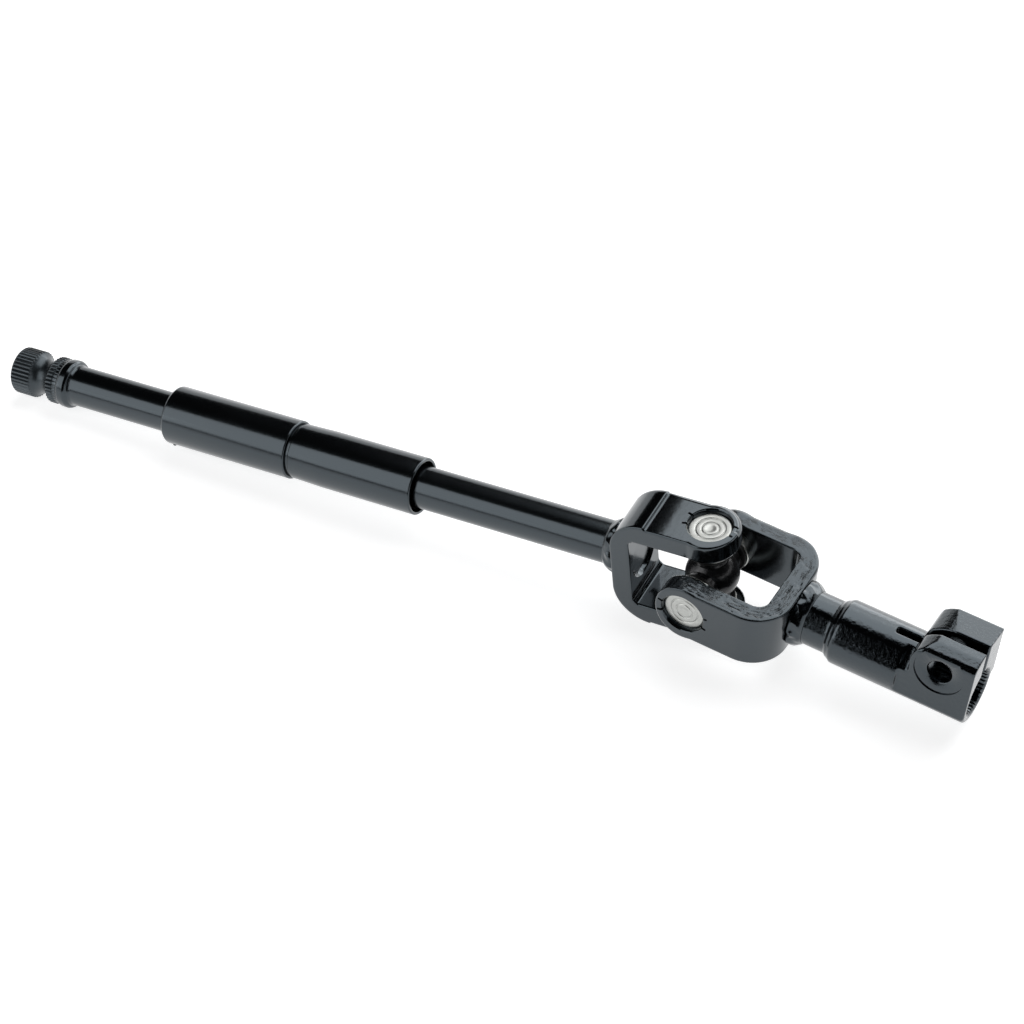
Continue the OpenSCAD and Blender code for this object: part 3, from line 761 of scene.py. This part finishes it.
class COLUMN_OT_upper_shaft(bpy.types.Operator):
    """Serrated upper end with its bolt groove, collar and plain shaft"""

    bl_idname = "column_shaft.upper_shaft"
    bl_label = "Upper shaft"

    def execute(self, context):
        s = context.scene.column_shaft
        r, shaft_r, collar_r = s.serration_d / 2, s.upper_d / 2, s.collar_d / 2
        drop = math.degrees(math.asin((s.groove_centre - r) / s.groove_r))
        groove = [
            (s.groove_x - s.groove_r * math.cos(a), s.groove_centre - s.groove_r * math.sin(a))
            for a in (math.radians(drop + (180 - 2 * drop) * i / 18) for i in range(19))
        ]
        face = [(0, 0), (0, 0.003), (0, r - s.tip_chamfer)]
        front = rounded([face[-1], (s.tip_chamfer, r), (s.tip_chamfer + 0.001, r)], 0.0004)
        steps = [groove[0][0] * i / 6 for i in range(2, 6)]
        land = [(x, r) for x in steps] + groove
        land += [(x, r) for x in (0.0160, 0.0168)]
        back = rounded([
            land[-1], (s.land_end - FINE_EDGE, r), (s.land_end, r - FINE_EDGE),
            (s.land_end, s.neck_d / 2), (s.collar_x, s.neck_d / 2),
            (s.collar_x, collar_r - 0.0005), (s.collar_x + 0.0009, collar_r),
            (s.collar_end - 0.0016, collar_r), (s.collar_end - 0.0007, collar_r - 0.0006),
            (s.collar_end - 0.0005, shaft_r + 0.0004), (s.collar_end + 0.0008, shaft_r),
            (s.sleeve_x, shaft_r), (s.upper_end - 0.001, shaft_r),
            (s.upper_end, shaft_r - 0.001), (s.upper_end, 0),
        ], 0.0003)
        per_tooth = 8
        bm = lathe(face + front + land + back[1:], s.serration_count * per_tooth)
        half_share = s.serration_share / 2
        for vert in bm.verts:
            x, y, z = vert.co
            radius = math.hypot(y, z)
            if x > s.land_end + 0.00002 or radius < 1e-5:
                continue
            turn = (math.atan2(y, z) / (2 * math.pi) * s.serration_count) % 1.0
            gap = min(turn, 1 - turn)
            cut = max(0.0, 1 - gap / half_share) ** 0.9 * s.serration_depth
            limit = r - cut
            if radius > limit:
                vert.co = (x, y * limit / radius, z * limit / radius)
        add_piece(
            bm, "serrated_upper_shaft", SHAFT, "sleeve", "paint tip", "upper_shaft", angle=28
        )
        return {"FINISHED"}


class COLUMN_OT_sleeve(bpy.types.Operator):
    """The sleeve's upper part with its nib, and its lower part with the open mouth"""

    bl_idname = "column_shaft.sleeve"
    bl_label = "Sleeve"

    def execute(self, context):
        s = context.scene.column_shaft
        seat = context.scene.column_yokes.seat
        r, grip, bore = s.sleeve_upper_d / 2, s.upper_d / 2 + seat, s.bore_d / 2
        socket = s.spigot_d / 2 + seat
        inner_x, rim = s.upper_end + FINE_EDGE, 0.00035
        stop_x = s.spigot_x - FINE_EDGE
        outline = rounded([
            (s.sleeve_x, grip), (s.sleeve_x, r - s.sleeve_edge), (s.sleeve_x + s.sleeve_edge, r),
            (s.seam_x - rim, r), (s.seam_x, r - rim), (s.seam_x, socket),
            (stop_x, socket), (stop_x, bore), (inner_x, bore), (inner_x, grip),
        ], 0.00045, 4)
        bm = lathe(outline + [outline[0]], 128)
        nib = bmesh.new()
        bmesh.ops.create_uvsphere(nib, u_segments=20, v_segments=12, radius=0.0008)
        bmesh.ops.translate(nib, vec=(s.sleeve_x + 0.0026, 0, r - FINE_EDGE), verts=nib.verts)
        bm = carve(bm, moved(nib, turned(138, "X")), operation="UNION")
        add_piece(bm, "sleeve_front_half", SHAFT, "sleeve", "paint smooth", "sleeve_upper")
        r, neck, mouth = s.sleeve_lower_d / 2, s.sleeve_neck_d / 2, s.mouth_d / 2
        spigot, lower_x = s.spigot_d / 2, s.seam_x + s.seam_gap
        recess_x = s.mouth_x - s.mouth_depth
        outline = rounded([
            (s.spigot_x, bore), (s.spigot_x, spigot - FINE_EDGE),
            (s.spigot_x + FINE_EDGE, spigot), (lower_x, spigot),
            (lower_x, neck - rim), (lower_x + rim, neck), (lower_x + 0.002, neck),
            (lower_x + s.sleeve_neck, r), (s.mouth_x - rim, r), (s.mouth_x, r - rim),
            (s.mouth_x, mouth), (recess_x, mouth), (recess_x, bore), (s.bush_end, bore),
            (s.bush_x, bore),
        ], 0.0004, 4)
        bm = lathe(outline + [outline[0]], 128)
        for vert in bm.verts:
            on_bore = math.hypot(vert.co.y, vert.co.z) < bore + 1e-6
            if on_bore and s.bush_x - 1e-5 < vert.co.x < s.bush_end + 1e-5:
                vert.co.z = max(-s.bush_flat, min(s.bush_flat, vert.co.z))
        add_piece(bm, "sleeve_mouth_half", SHAFT, "sleeve", "paint smooth", "sleeve_lower")
        return {"FINISHED"}


class COLUMN_OT_sliding_shaft(bpy.types.Operator):
    """Lower shaft, with its sliding end's two flats and the stop ring's groove"""

    bl_idname = "column_shaft.sliding_shaft"
    bl_label = "Sliding shaft"

    def execute(self, context):
        s = context.scene.column_shaft
        r = s.lower_d / 2
        profile = [
            (s.lower_x, 0), (s.lower_x, r - 0.001), (s.lower_x + 0.001, r), (s.ring_x, r),
            (s.ring_x, s.ring_r), (s.ring_x + s.ring_width, s.ring_r),
            (s.ring_x + s.ring_width, r), (s.flats_end, r), (s.flats_end + 0.00005, r),
            (s.back_x, r), (s.lower_end - EDGE, r), (s.lower_end, r - EDGE), (s.lower_end, 0),
        ]
        bm = lathe(profile, 96)
        flat = s.flats_across / 2
        for vert in bm.verts:
            if vert.co.x < s.flats_end + 0.00001:
                vert.co.z = max(-flat, min(flat, vert.co.z))
        add_piece(bm, "sliding_shaft", SHAFT, "slider", "paint sliding", "lower_shaft")
        return {"FINISHED"}


def strap_blank(sizes, half_out, half_in, inner_r):
    """A bent strap with rounded ears, its base at -X."""
    base = sizes.reach + sizes.wall
    arm = base - sizes.bend_r
    end = sizes.ear_d
    bend, reach = sizes.bend_r, sizes.reach
    outline = [(end, -half_out)]
    outline += arc((-arm, -half_out + bend), bend, -90, -180, 24)
    outline += arc((-arm, half_out - bend), bend, 180, 90, 24)
    outline += [(end, half_out), (end, half_in)]
    outline += arc((-reach + inner_r, half_in - inner_r), inner_r, 90, 180, 8)
    outline += arc((-reach + inner_r, -half_in + inner_r), inner_r, 180, 270, 8)
    outline += [(end, -half_in)]
    strap = prism(outline, 1, -sizes.ear_d, sizes.ear_d)
    half, ear_r = sizes.width / 2, sizes.ear_d / 2
    meet = math.degrees(math.asin(half / ear_r))
    plan = [(-base - 0.002, half), (-base - 0.002, -half)]
    ear = arc((0, 0), ear_r, -(180 - meet), 180 - meet, 80)
    plan += [(x * sizes.ear_nose if x > 0 else x, y) for x, y in ear]
    return carve(strap, prism(plan, 2, -THROUGH, THROUGH), operation="INTERSECT")


def roll_strap(bm, sizes, height_at, round_at):
    """Moves the vertices near a strap's outer edges onto a rounding."""
    arm = sizes.reach + sizes.wall - sizes.bend_r
    half, ear_r = sizes.width / 2, sizes.ear_d / 2
    ear_x = -math.sqrt(ear_r**2 - half**2)
    for vert in bm.verts:
        x, y, z = vert.co
        climb = max(abs(z) - (height_at(x) - sizes.bend_r), 0)
        over = Vector((min(x + arm, 0), 0, math.copysign(climb, z)))
        if over.length < 1e-6:
            continue
        deep = sizes.bend_r - over.length
        nose = x / sizes.ear_nose if x > 0 else x
        beside = Vector((nose if x > ear_x else 0, y, 0))
        inset = (ear_r if x > ear_x else half) - beside.length
        radius = round_at(vert.co)
        a, b = radius - deep, radius - inset
        if min(a, b) > 0 and math.hypot(a, b) > radius:
            excess = 1 - radius / math.hypot(a, b)
            vert.co -= over.normalized() * a * excess + beside.normalized() * b * excess


def tear_strap(bm, sizes, half_out, side):
    """Cracks along the outline of a strap's sheared side, deepest round the bend."""
    arm = sizes.reach + sizes.wall - sizes.bend_r
    skin, crack_size, patch_size, rough_size = 0.0004, 0.0085, 0.008, 0.0009
    for vert in bm.verts:
        x, y, z = vert.co
        if y * side < sizes.width / 2 - skin:
            continue
        climb = max(abs(z) - (half_out - sizes.bend_r), 0)
        deep = sizes.bend_r - math.hypot(min(x + arm, 0), climb)
        if not 0.0009 < deep < 0.0068:
            continue
        place = Vector((deep * 9, x, z)) / crack_size
        line = noise.noise(place) + 0.25 * noise.noise(place * 2.7)
        patch = noise.noise(Vector((x, z, 0.3)) / patch_size) + 0.45
        reach = min(1.0, max(0.2, 0.8 + 40 * z + 12 * (-x - arm)))
        crack = max(0.0, 1 - abs(line) * 9) * min(1.0, max(0.0, patch * 3)) * reach
        rough = 0.12 * noise.noise(vert.co / rough_size)
        vert.co.y -= side * sizes.tear * (crack + rough * reach)


def bore_strap(sizes, blank, shaft_r):
    """Cuts the cups' bores, the stake marks and the shaft's hole into a strap."""
    ear_out, cup_r = sizes.span / 2, sizes.cup_d / 2 + sizes.seat
    base = -(sizes.reach + sizes.wall)
    sink = sizes.recess + 0.001
    holes = [
        rod(-THROUGH, THROUGH, cup_r),
        rod(base - 0.002, -sizes.reach + 0.002, shaft_r + sizes.seat, turn=TO_X),
    ]
    leads = [
        rod(-sizes.reach - sizes.recess, -sizes.reach + 0.001, shaft_r, shaft_r + sink, TO_X)
    ]
    stakes, stake_in, stake_out = [], cup_r - 0.001, cup_r + 0.0018
    for side in (Matrix.Identity(4), UPSIDE_DOWN):
        leads.append(rod(ear_out - 0.0004, ear_out + 0.0006, cup_r, cup_r + 0.001, side))
        for angle in (-16, 16, 164, 196):
            stake = prism(
                [(stake_in, -0.0006), (stake_out, -0.0004), (stake_out, 0.0004),
                 (stake_in, 0.0006)],
                2, ear_out - 0.0011, ear_out + 0.002,
            )
            stakes.append(moved(stake, side @ turned(angle, "Z")))
    return carve(blank, joined(holes), joined(leads), joined(stakes))


class COLUMN_OT_yokes(bpy.types.Operator):
    """The two strap yokes of the universal joint"""

    bl_idname = "column_shaft.yokes"
    bl_label = "Yokes"

    def execute(self, context):
        y, s = context.scene.column_yokes, context.scene.column_shaft
        clamp = context.scene.column_clamp
        out, inside = y.span / 2, y.span / 2 - y.wall
        upper = strap_blank(y, out + y.mill_out, inside - y.mill_in, y.upper_inner_r)
        past = 0.03
        for side in (1, -1):
            low, high = sorted((side * out, side * (out + 0.004)))
            upper = carve(upper, block((-y.mill_x, -past, low), (past, past, high)))
        mill_start = -y.reach + y.mill_gap
        wide = prism(
            [(mill_start, -inside), (past, -inside), (past, inside), (mill_start, inside)],
            1, -past, past,
        )
        upper = carve(upper, wide)

        def roll_upper(bm):
            for vert in bm.verts:
                away = (vert.co.x + y.mill_x) / y.mill_run
                if 0 < away < 1 and abs(vert.co.z) > out - 0.0004:
                    vert.co.z -= math.copysign(y.mill_drop * (1 - away) ** 2, vert.co.z)
            roll_strap(
                bm, y, lambda x: out + (y.mill_out if x < -y.mill_x else 0),
                lambda p: y.soft_round if p.y > 0 else y.hard_round,
            )

        def roll_lower(bm):
            def radius(p):
                far = min(1.0, max(0.0, 0.5 - p.z / 0.02)) if p.y < 0 else 0.0
                rolled = far * min(1.0, max(0.15, (p.x + 0.028) / 0.012))
                return y.hard_round + (y.soft_round - y.hard_round) * rolled

            roll_strap(bm, y, lambda x: out, radius)
            tear_strap(bm, y, out, -1)

        upper = bore_strap(y, cast(upper, y.grain, 2, 0.45, roll_upper), s.lower_d / 2)
        add_piece(
            upper, "upper_strap_yoke", UPPER, "slider", "paint strap", "upper_yoke", angle=45
        )
        lower = strap_blank(y, out, inside, y.lower_inner_r)
        lower = bore_strap(y, cast(lower, y.grain, 1, 0.6, roll_lower), clamp.spigot_d / 2)
        add_piece(
            lower, "lower_strap_yoke", LOWER @ TO_NEAR @ turned(180, "Z"), "lower_end",
            "paint sheared", "lower_yoke", angle=45,
        )
        return {"FINISHED"}


class COLUMN_OT_welds(bpy.types.Operator):
    """The two uneven weld beads behind the yokes"""

    bl_idname = "column_shaft.welds"
    bl_label = "Welds"

    def execute(self, context):
        y = context.scene.column_yokes
        shaft, clamp = context.scene.column_shaft, context.scene.column_clamp
        base = y.reach + y.wall
        rows = (
            ("upper_weld_bead", "slider", "upper_weld", shaft.lower_d / 2, UPPER, -1, 3.0),
            ("lower_weld_bead", "lower_end", "lower_weld", clamp.stub_d / 2, LOWER, 1, 7.0),
        )
        for name, body, node, shaft_r, matrix, side, seed in rows:
            top, inner = y.weld_height, shaft_r + y.seat
            profile = [
                (0, inner), (0, shaft_r + top * 0.94), (0.25, shaft_r + top),
                (0.5, shaft_r + top * 0.88), (0.75, shaft_r + top * 0.6),
                (0.92, shaft_r + top * 0.3), (1, shaft_r + top * 0.12), (1, inner),
            ]
            profile = [(y.seat + x * y.weld_length, r) for x, r in profile]
            dense = rounded(profile, 0.0005, 4)
            bm = lathe(dense + [dense[0]], 160)
            for vert in bm.verts:
                radius = math.hypot(vert.co.y, vert.co.z)
                if radius < inner + 0.00005:
                    continue
                angle = math.atan2(vert.co.y, vert.co.z)
                wave = abs(math.sin(angle * 7 + vert.co.x * 400 + seed)) ** 0.7
                lump = noise.noise(vert.co / 0.003 + Vector((seed, 0, 0)))
                grow = -0.0003 * wave + 0.0008 * (lump - 0.35)
                share_out = (radius - inner) / top
                scale = 1 + grow * share_out / radius
                vert.co.y *= scale
                vert.co.z *= scale
            if side < 0:
                moved(bm, turned(180, "Z"))
            bmesh.ops.translate(bm, vec=(side * base, 0, 0), verts=bm.verts)
            add_piece(bm, name, matrix, body, "paint weld", node, angle=60)
        return {"FINISHED"}


class COLUMN_OT_bearings(bpy.types.Operator):
    """The cross and its four bearing caps, with the needles, seals and pads"""

    bl_idname = "column_shaft.bearings"
    bl_label = "Cross and bearings"

    def execute(self, context):
        y = context.scene.column_yokes
        root, pin = y.root_d / 2, y.trunnion_d / 2
        body = bmesh.new()
        bmesh.ops.create_uvsphere(body, u_segments=64, v_segments=32, radius=y.body_d / 2)
        arms = []
        for turn in (0, 90, 180, -90):
            profile = rounded([
                (0, 0), (0, root - EDGE), (y.root_end - EDGE, root),
                (y.root_end, root - EDGE), (y.root_end, pin), (y.trunnion_end - EDGE, pin),
                (y.trunnion_end, pin - EDGE), (y.trunnion_end, 0),
            ], FINE_EDGE)
            arms.append(moved(lathe(profile, 64), turned(turn, "X") @ FROM_X))
        body = carve(body, *arms, operation="UNION")
        add_piece(
            body, "forged_cross", CROSS, "cross", "forged cross", "cross", 50
        )
        r, inner = y.cup_d / 2, y.cup_d / 2 - y.cup_wall
        top, ring_floor = y.cup_out, y.cup_out - 0.00022
        profile = [(y.cup_mouth, inner)]
        profile += rounded([
            profile[0], (y.cup_mouth, r - FINE_EDGE), (y.cup_mouth + FINE_EDGE, r),
            (top - EDGE, r), (top, r - EDGE), (top, r * 0.70), (ring_floor, r * 0.67),
            (ring_floor, r * 0.645), (top, r * 0.615), (top, r * 0.43),
            (ring_floor, r * 0.40), (ring_floor, r * 0.375), (top, r * 0.345),
            (top, r * 0.25), (top - 0.00016, r * 0.13), (top - 0.0002, 0),
        ], 0.00018)[1:]
        profile += [(top - y.cup_floor, 0), (top - y.cup_floor, inner), profile[0]]
        places = {
            "top": ("slider", UPPER), "bottom": ("slider", UPPER @ UPSIDE_DOWN),
            "near": ("lower_end", LOWER @ TO_NEAR), "far": ("lower_end", LOWER @ TO_FAR),
        }
        for side, (rides, matrix) in places.items():
            cap_steel(context.scene.column_paint, matrix, f"cap steel {side}")
            add_piece(
                lathe(profile, 96), f"bearing_cap_{side}", matrix @ FROM_X, rides,
                f"cap steel {side}", f"cup_{side}", 40,
            )
            dress(f"needles_{side}", "ground steel")
            dress(f"seal_{side}", "seal rubber")
            dress(f"pad_{side}", "nylon")
        dress("guide_bush", "nylon")
        dress("dust_ring", "nylon")
        dress("stop_ring", "spring steel")
        return {"FINISHED"}


class COLUMN_OT_clamp(bpy.types.Operator):
    """The pinch clamp with its slit, ears, bolt holes and serrated bore"""

    bl_idname = "column_shaft.clamp"
    bl_label = "Pinch clamp"

    def execute(self, context):
        c, y, s = (
            context.scene.column_clamp, context.scene.column_yokes, context.scene.column_shaft
        )
        r, stub, spigot = c.body_d / 2, c.stub_d / 2, c.spigot_d / 2
        inner_x, base = y.reach + y.recess, y.reach + y.wall + y.seat
        end, middle = c.body_end, (c.stub_d + c.body_d) / 4
        step = c.body_x - c.stub_end
        profile = rounded([
            (inner_x, 0), (inner_x, spigot - EDGE), (inner_x + EDGE, spigot),
            (base, spigot), (base, stub), (c.stub_end, stub),
            (c.stub_end + step * 0.25, middle), (c.stub_end + step * 0.5, middle),
            (c.body_x, r), (end - EDGE, r), (end, r - EDGE), (end, 0),
        ], 0.00035)
        body = lathe(profile, 128)
        bolt_x = end - c.bolt_back
        facet_x = end - c.slit_length + c.facet_gap
        flat = block((facet_x, -r, r - c.facet_depth), (facet_x + c.shoulder_r, r, 2 * r))
        body = carve(body, moved(flat, turned(41, "X")))
        top = c.ear_height
        crest = math.degrees(math.asin((top - c.bolt_offset) / c.shoulder_r))
        edge_x = bolt_x - c.shoulder_r * math.cos(math.radians(crest))
        flank = arc((bolt_x, c.bolt_offset), c.shoulder_r, 180 - crest + 34, 192, 16)
        outline = [(end, 0), (end, top)]
        for i in range(9):
            t = i / 8
            start, finish = (edge_x + c.corner, top), flank[0]
            outline.append(tuple(
                start[k] * (1 - t) ** 2 + (edge_x, top)[k] * 2 * t * (1 - t) + finish[k] * t**2
                for k in (0, 1)
            ))
        outline += flank[1:]
        outline += [(outline[-1][0], 0)]
        ears = prism(outline, 1, -c.head_face, c.tapped_face)
        body = carve(body, ears, operation="UNION")
        nose_z = c.near_height - c.bevel_height - c.nose_r
        half, over = c.slit_width / 2, 0.001
        roof = [
            (-c.head_face - over, top + over), (-c.head_face - over, nose_z),
            *arc((-c.head_face + c.nose_r, nose_z), c.nose_r, 180, 100, 8),
            (-c.head_face + c.bevel_width, c.near_height),
            (0, c.near_height), (0, top), (c.tapped_face, top - c.ear_drop),
            (c.tapped_face + over, top - c.ear_drop), (c.tapped_face + over, top + over),
        ]
        body = carve(
            body,
            block((facet_x, -c.head_face - r, -r - over), (end + over, -c.head_face, 3 * r)),
            prism(roof, 0, bolt_x - 2 * c.shoulder_r, end + 0.01),
            block((end - c.slit_length, -half, 0), (end + over, half, top + over)),
        )
        body = cast(body, c.grain, 8, 0.5)
        bore_r, minor = s.serration_d / 2, s.serration_d / 2 - s.serration_depth
        teeth = s.serration_count
        ring = []
        for i in range(teeth):
            for share_of, radius in ((0.0, minor), (0.24, minor), (0.5, bore_r), (0.76, minor)):
                a = 2 * math.pi * (i + share_of) / teeth
                ring.append((radius * math.cos(a), radius * math.sin(a)))
        bore_x, hole = end - c.bore_depth, c.bolt_hole_d / 2
        head = c.head_face - c.spot_depth
        bolt_hole = lathe([
            (0.0004, 0), (0.0004, hole), (head - 0.0004, hole), (head, hole + FINE_EDGE),
            (head, c.spot_d / 2), (head + 0.003, c.spot_d / 2), (head + 0.003, 0),
        ], 96)
        place = Matrix.Translation((bolt_x, 0, c.bolt_offset))
        body = carve(
            body,
            prism(ring, 0, bore_x, end + 0.002),
            rod(end - c.lead, end + over, minor, minor + c.lead + over, turn=TO_X),
            rod(bore_x - c.relief, bore_x + 0.00001, c.relief_d / 2, turn=TO_X),
            moved(bolt_hole, place @ TO_NEAR @ FROM_X),
            moved(self.thread(c), place @ TO_FAR @ FROM_X),
        )
        add_piece(
            body, "pinch_clamp_body", CLAMP, "lower_end", "paint cast", "clamp_coupling",
            angle=55,
        )
        return {"FINISHED"}

    def thread(self, c):
        """The tapped hole's cutter, a cylinder with a helical ridge."""
        core, start, rise = c.core_d / 2, 0.0004, c.thread_pitch / 8
        count = round((c.tapped_face + 0.001 - start) / rise)
        rings = [(start + i * rise, core) for i in range(count)]
        bm = lathe([(start, 0)] + rings + [(rings[-1][0], 0)], 48)
        for vert in bm.verts:
            x, y, z = vert.co
            radius = math.hypot(y, z)
            if radius < core * 0.9:
                continue
            phase = (x / c.thread_pitch + math.atan2(y, z) / (2 * math.pi)) % 1
            scale = 1 + c.thread_depth * max(0, 1 - abs(phase - 0.5) / 0.42) / radius
            vert.co = (x, y * scale, z * scale)
        return bm


# Studio


class COLUMN_OT_studio(bpy.types.Operator):
    """Camera, pale floor with its curved backdrop, and three soft panels"""

    bl_idname = "column_shaft.studio"
    bl_label = "Studio"

    def execute(self, context):
        scene, look = context.scene, context.scene.column_studio
        camera = linked("camera", bpy.data.cameras.new("camera"))
        camera.data.lens, camera.data.sensor_width = look.lens, 36
        camera.data.clip_start, camera.data.clip_end = 0.01, 20
        right = Vector(look.camera_right).normalized()
        back = Vector(look.camera_back).normalized()
        up = back.cross(right).normalized()
        camera.matrix_world = placed(up.cross(back), up, back, look.camera_at)
        scene.camera = camera
        scene.view_settings.view_transform = "Standard"
        self.backdrop(look)
        self.flags()
        self.lamps(scene, look)
        return {"FINISHED"}

    def backdrop(self, look):
        """A floor that curves up into a low wall, lifted to white where it is seen."""
        low = solid_bounds[0].z
        fillet = look.wall_r - look.floor_r
        profile = [(0, 0), (look.floor_r * 0.5, 0), (look.floor_r, 0)]
        profile += [
            (look.floor_r + fillet * math.sin(a), fillet * (1 - math.cos(a)))
            for a in (math.radians(90 * i / 16) for i in range(1, 17))
        ]
        profile.append((look.wall_r, look.wall_height))
        bm = lathe([(z, r) for r, z in profile], 96)
        mesh = baked("floor", moved(bm, Matrix.Translation((look.middle, 0, low)) @ FROM_X))
        mesh.shade_smooth()
        finish = Finish(
            "floor", Base_Color=look.floor, Roughness=0.9, Specular_IOR_Level=0.0
        )
        seen = finish.node("ShaderNodeLightPath")
        mask = Wire(finish, seen.outputs["Is Camera Ray"])
        mask = mask.larger(Wire(finish, seen.outputs["Is Glossy Ray"]))
        mask = mask.larger(Wire(finish, seen.outputs["Is Transmission Ray"]))
        glow = finish.node("ShaderNodeEmission", None, {"Strength": mask * look.floor_glow})
        lifted = finish.node(
            "ShaderNodeAddShader", None, {0: finish.surface.outputs[0], 1: glow.outputs[0]}
        )
        output = next(n for n in finish.tree.nodes if n.type == "OUTPUT_MATERIAL")
        finish.tree.links.new(lifted.outputs[0], output.inputs["Surface"])
        mesh.materials.append(finish.material)
        floor = linked("floor", mesh)

    def flags(self):
        """Black boards in front, outside every picture, that the gloss shows as black."""
        low, top, split = solid_bounds[0].z, 0.56, -0.12
        front, back = -1.27, -1.26
        boards = (
            block((-1.3, front, low + 0.115), (split, back, top)),
            block((split, front, low), (1.35, back, top)),
        )
        finish = Finish("flag", Roughness=1.0, Specular_IOR_Level=0.0)
        fibre = finish.noise(0.004, 3.0, 0.6)
        finish.set(Base_Color=finish.blend(fibre, (0.003, 0.003, 0.003), (0.006, 0.006, 0.006)))
        boards = linked("flags", baked("flags", joined(boards)))
        boards.data.materials.append(finish.material)
        boards.visible_camera = False
        boards.visible_diffuse = False
        boards.visible_shadow = False

    def lamps(self, scene, look):
        """Panels in front, above and behind, and a dark ceiling."""
        rows = (
            ("front panel", (-0.60, -0.725, 0.59), 0, (0, -0.83, 0.557), 1.2, 0.988, 1.0),
            ("top panel", (0.411, 0.608, 0.85), 13, (0, 0, 1), 1.13, 0.95, 1.3),
            ("back panel", (0.445, 1.0, 0.45), 0, (0, 1, 0), 1.13, 0.82, 1.2),
        )
        for name, at, turn, back, width, height, strength in rows:
            lamp = bpy.data.lights.new(name, "AREA")
            lamp.shape, lamp.size, lamp.size_y = "RECTANGLE", width, height
            lamp.energy = look.panel * strength * math.pi * width * height
            holder = linked(name, lamp)
            a = math.radians(turn)
            x, z = Vector((math.cos(a), math.sin(a), 0)), Vector(back).normalized()
            holder.matrix_world = placed(x, z.cross(x), z, at)
            holder.visible_camera = False
        world = bpy.data.worlds.new("ceiling")
        world.use_nodes = True
        world.node_tree.nodes["Background"].inputs[0].default_value = (*look.ceiling, 1)
        scene.world = world


OPERATORS = (
    COLUMN_OT_studio,
    COLUMN_OT_upper_shaft,
    COLUMN_OT_sleeve,
    COLUMN_OT_sliding_shaft,
    COLUMN_OT_yokes,
    COLUMN_OT_welds,
    COLUMN_OT_bearings,
    COLUMN_OT_clamp,
)


class COLUMN_PT_panel(bpy.types.Panel):
    """Lists the pieces and their sizes"""

    bl_label = "Column Shaft"
    bl_idname = "COLUMN_PT_panel"
    bl_space_type = "VIEW_3D"
    bl_region_type = "UI"
    bl_category = "Column Shaft"

    def draw(self, context):
        for operator in OPERATORS:
            self.layout.operator(operator.bl_idname)
        for name, group in GROUPS.items():
            box = self.layout.box()
            box.label(text=group.__doc__)
            for key in group.__annotations__:
                box.prop(getattr(context.scene, name), key)


def register():
    for group in GROUPS.values():
        bpy.utils.register_class(group)
    for name, group in GROUPS.items():
        setattr(bpy.types.Scene, name, PointerProperty(type=group))
    for operator in OPERATORS:
        bpy.utils.register_class(operator)
    bpy.utils.register_class(COLUMN_PT_panel)


def unregister():
    bpy.utils.unregister_class(COLUMN_PT_panel)
    for operator in reversed(OPERATORS):
        bpy.utils.unregister_class(operator)
    for name, group in GROUPS.items():
        delattr(bpy.types.Scene, name)
        bpy.utils.unregister_class(group)


def main():
    register()
    for operator in OPERATORS:
        group, name = operator.bl_idname.split(".")
        getattr(getattr(bpy.ops, group), name)()


if __name__ == "__main__":
    main()
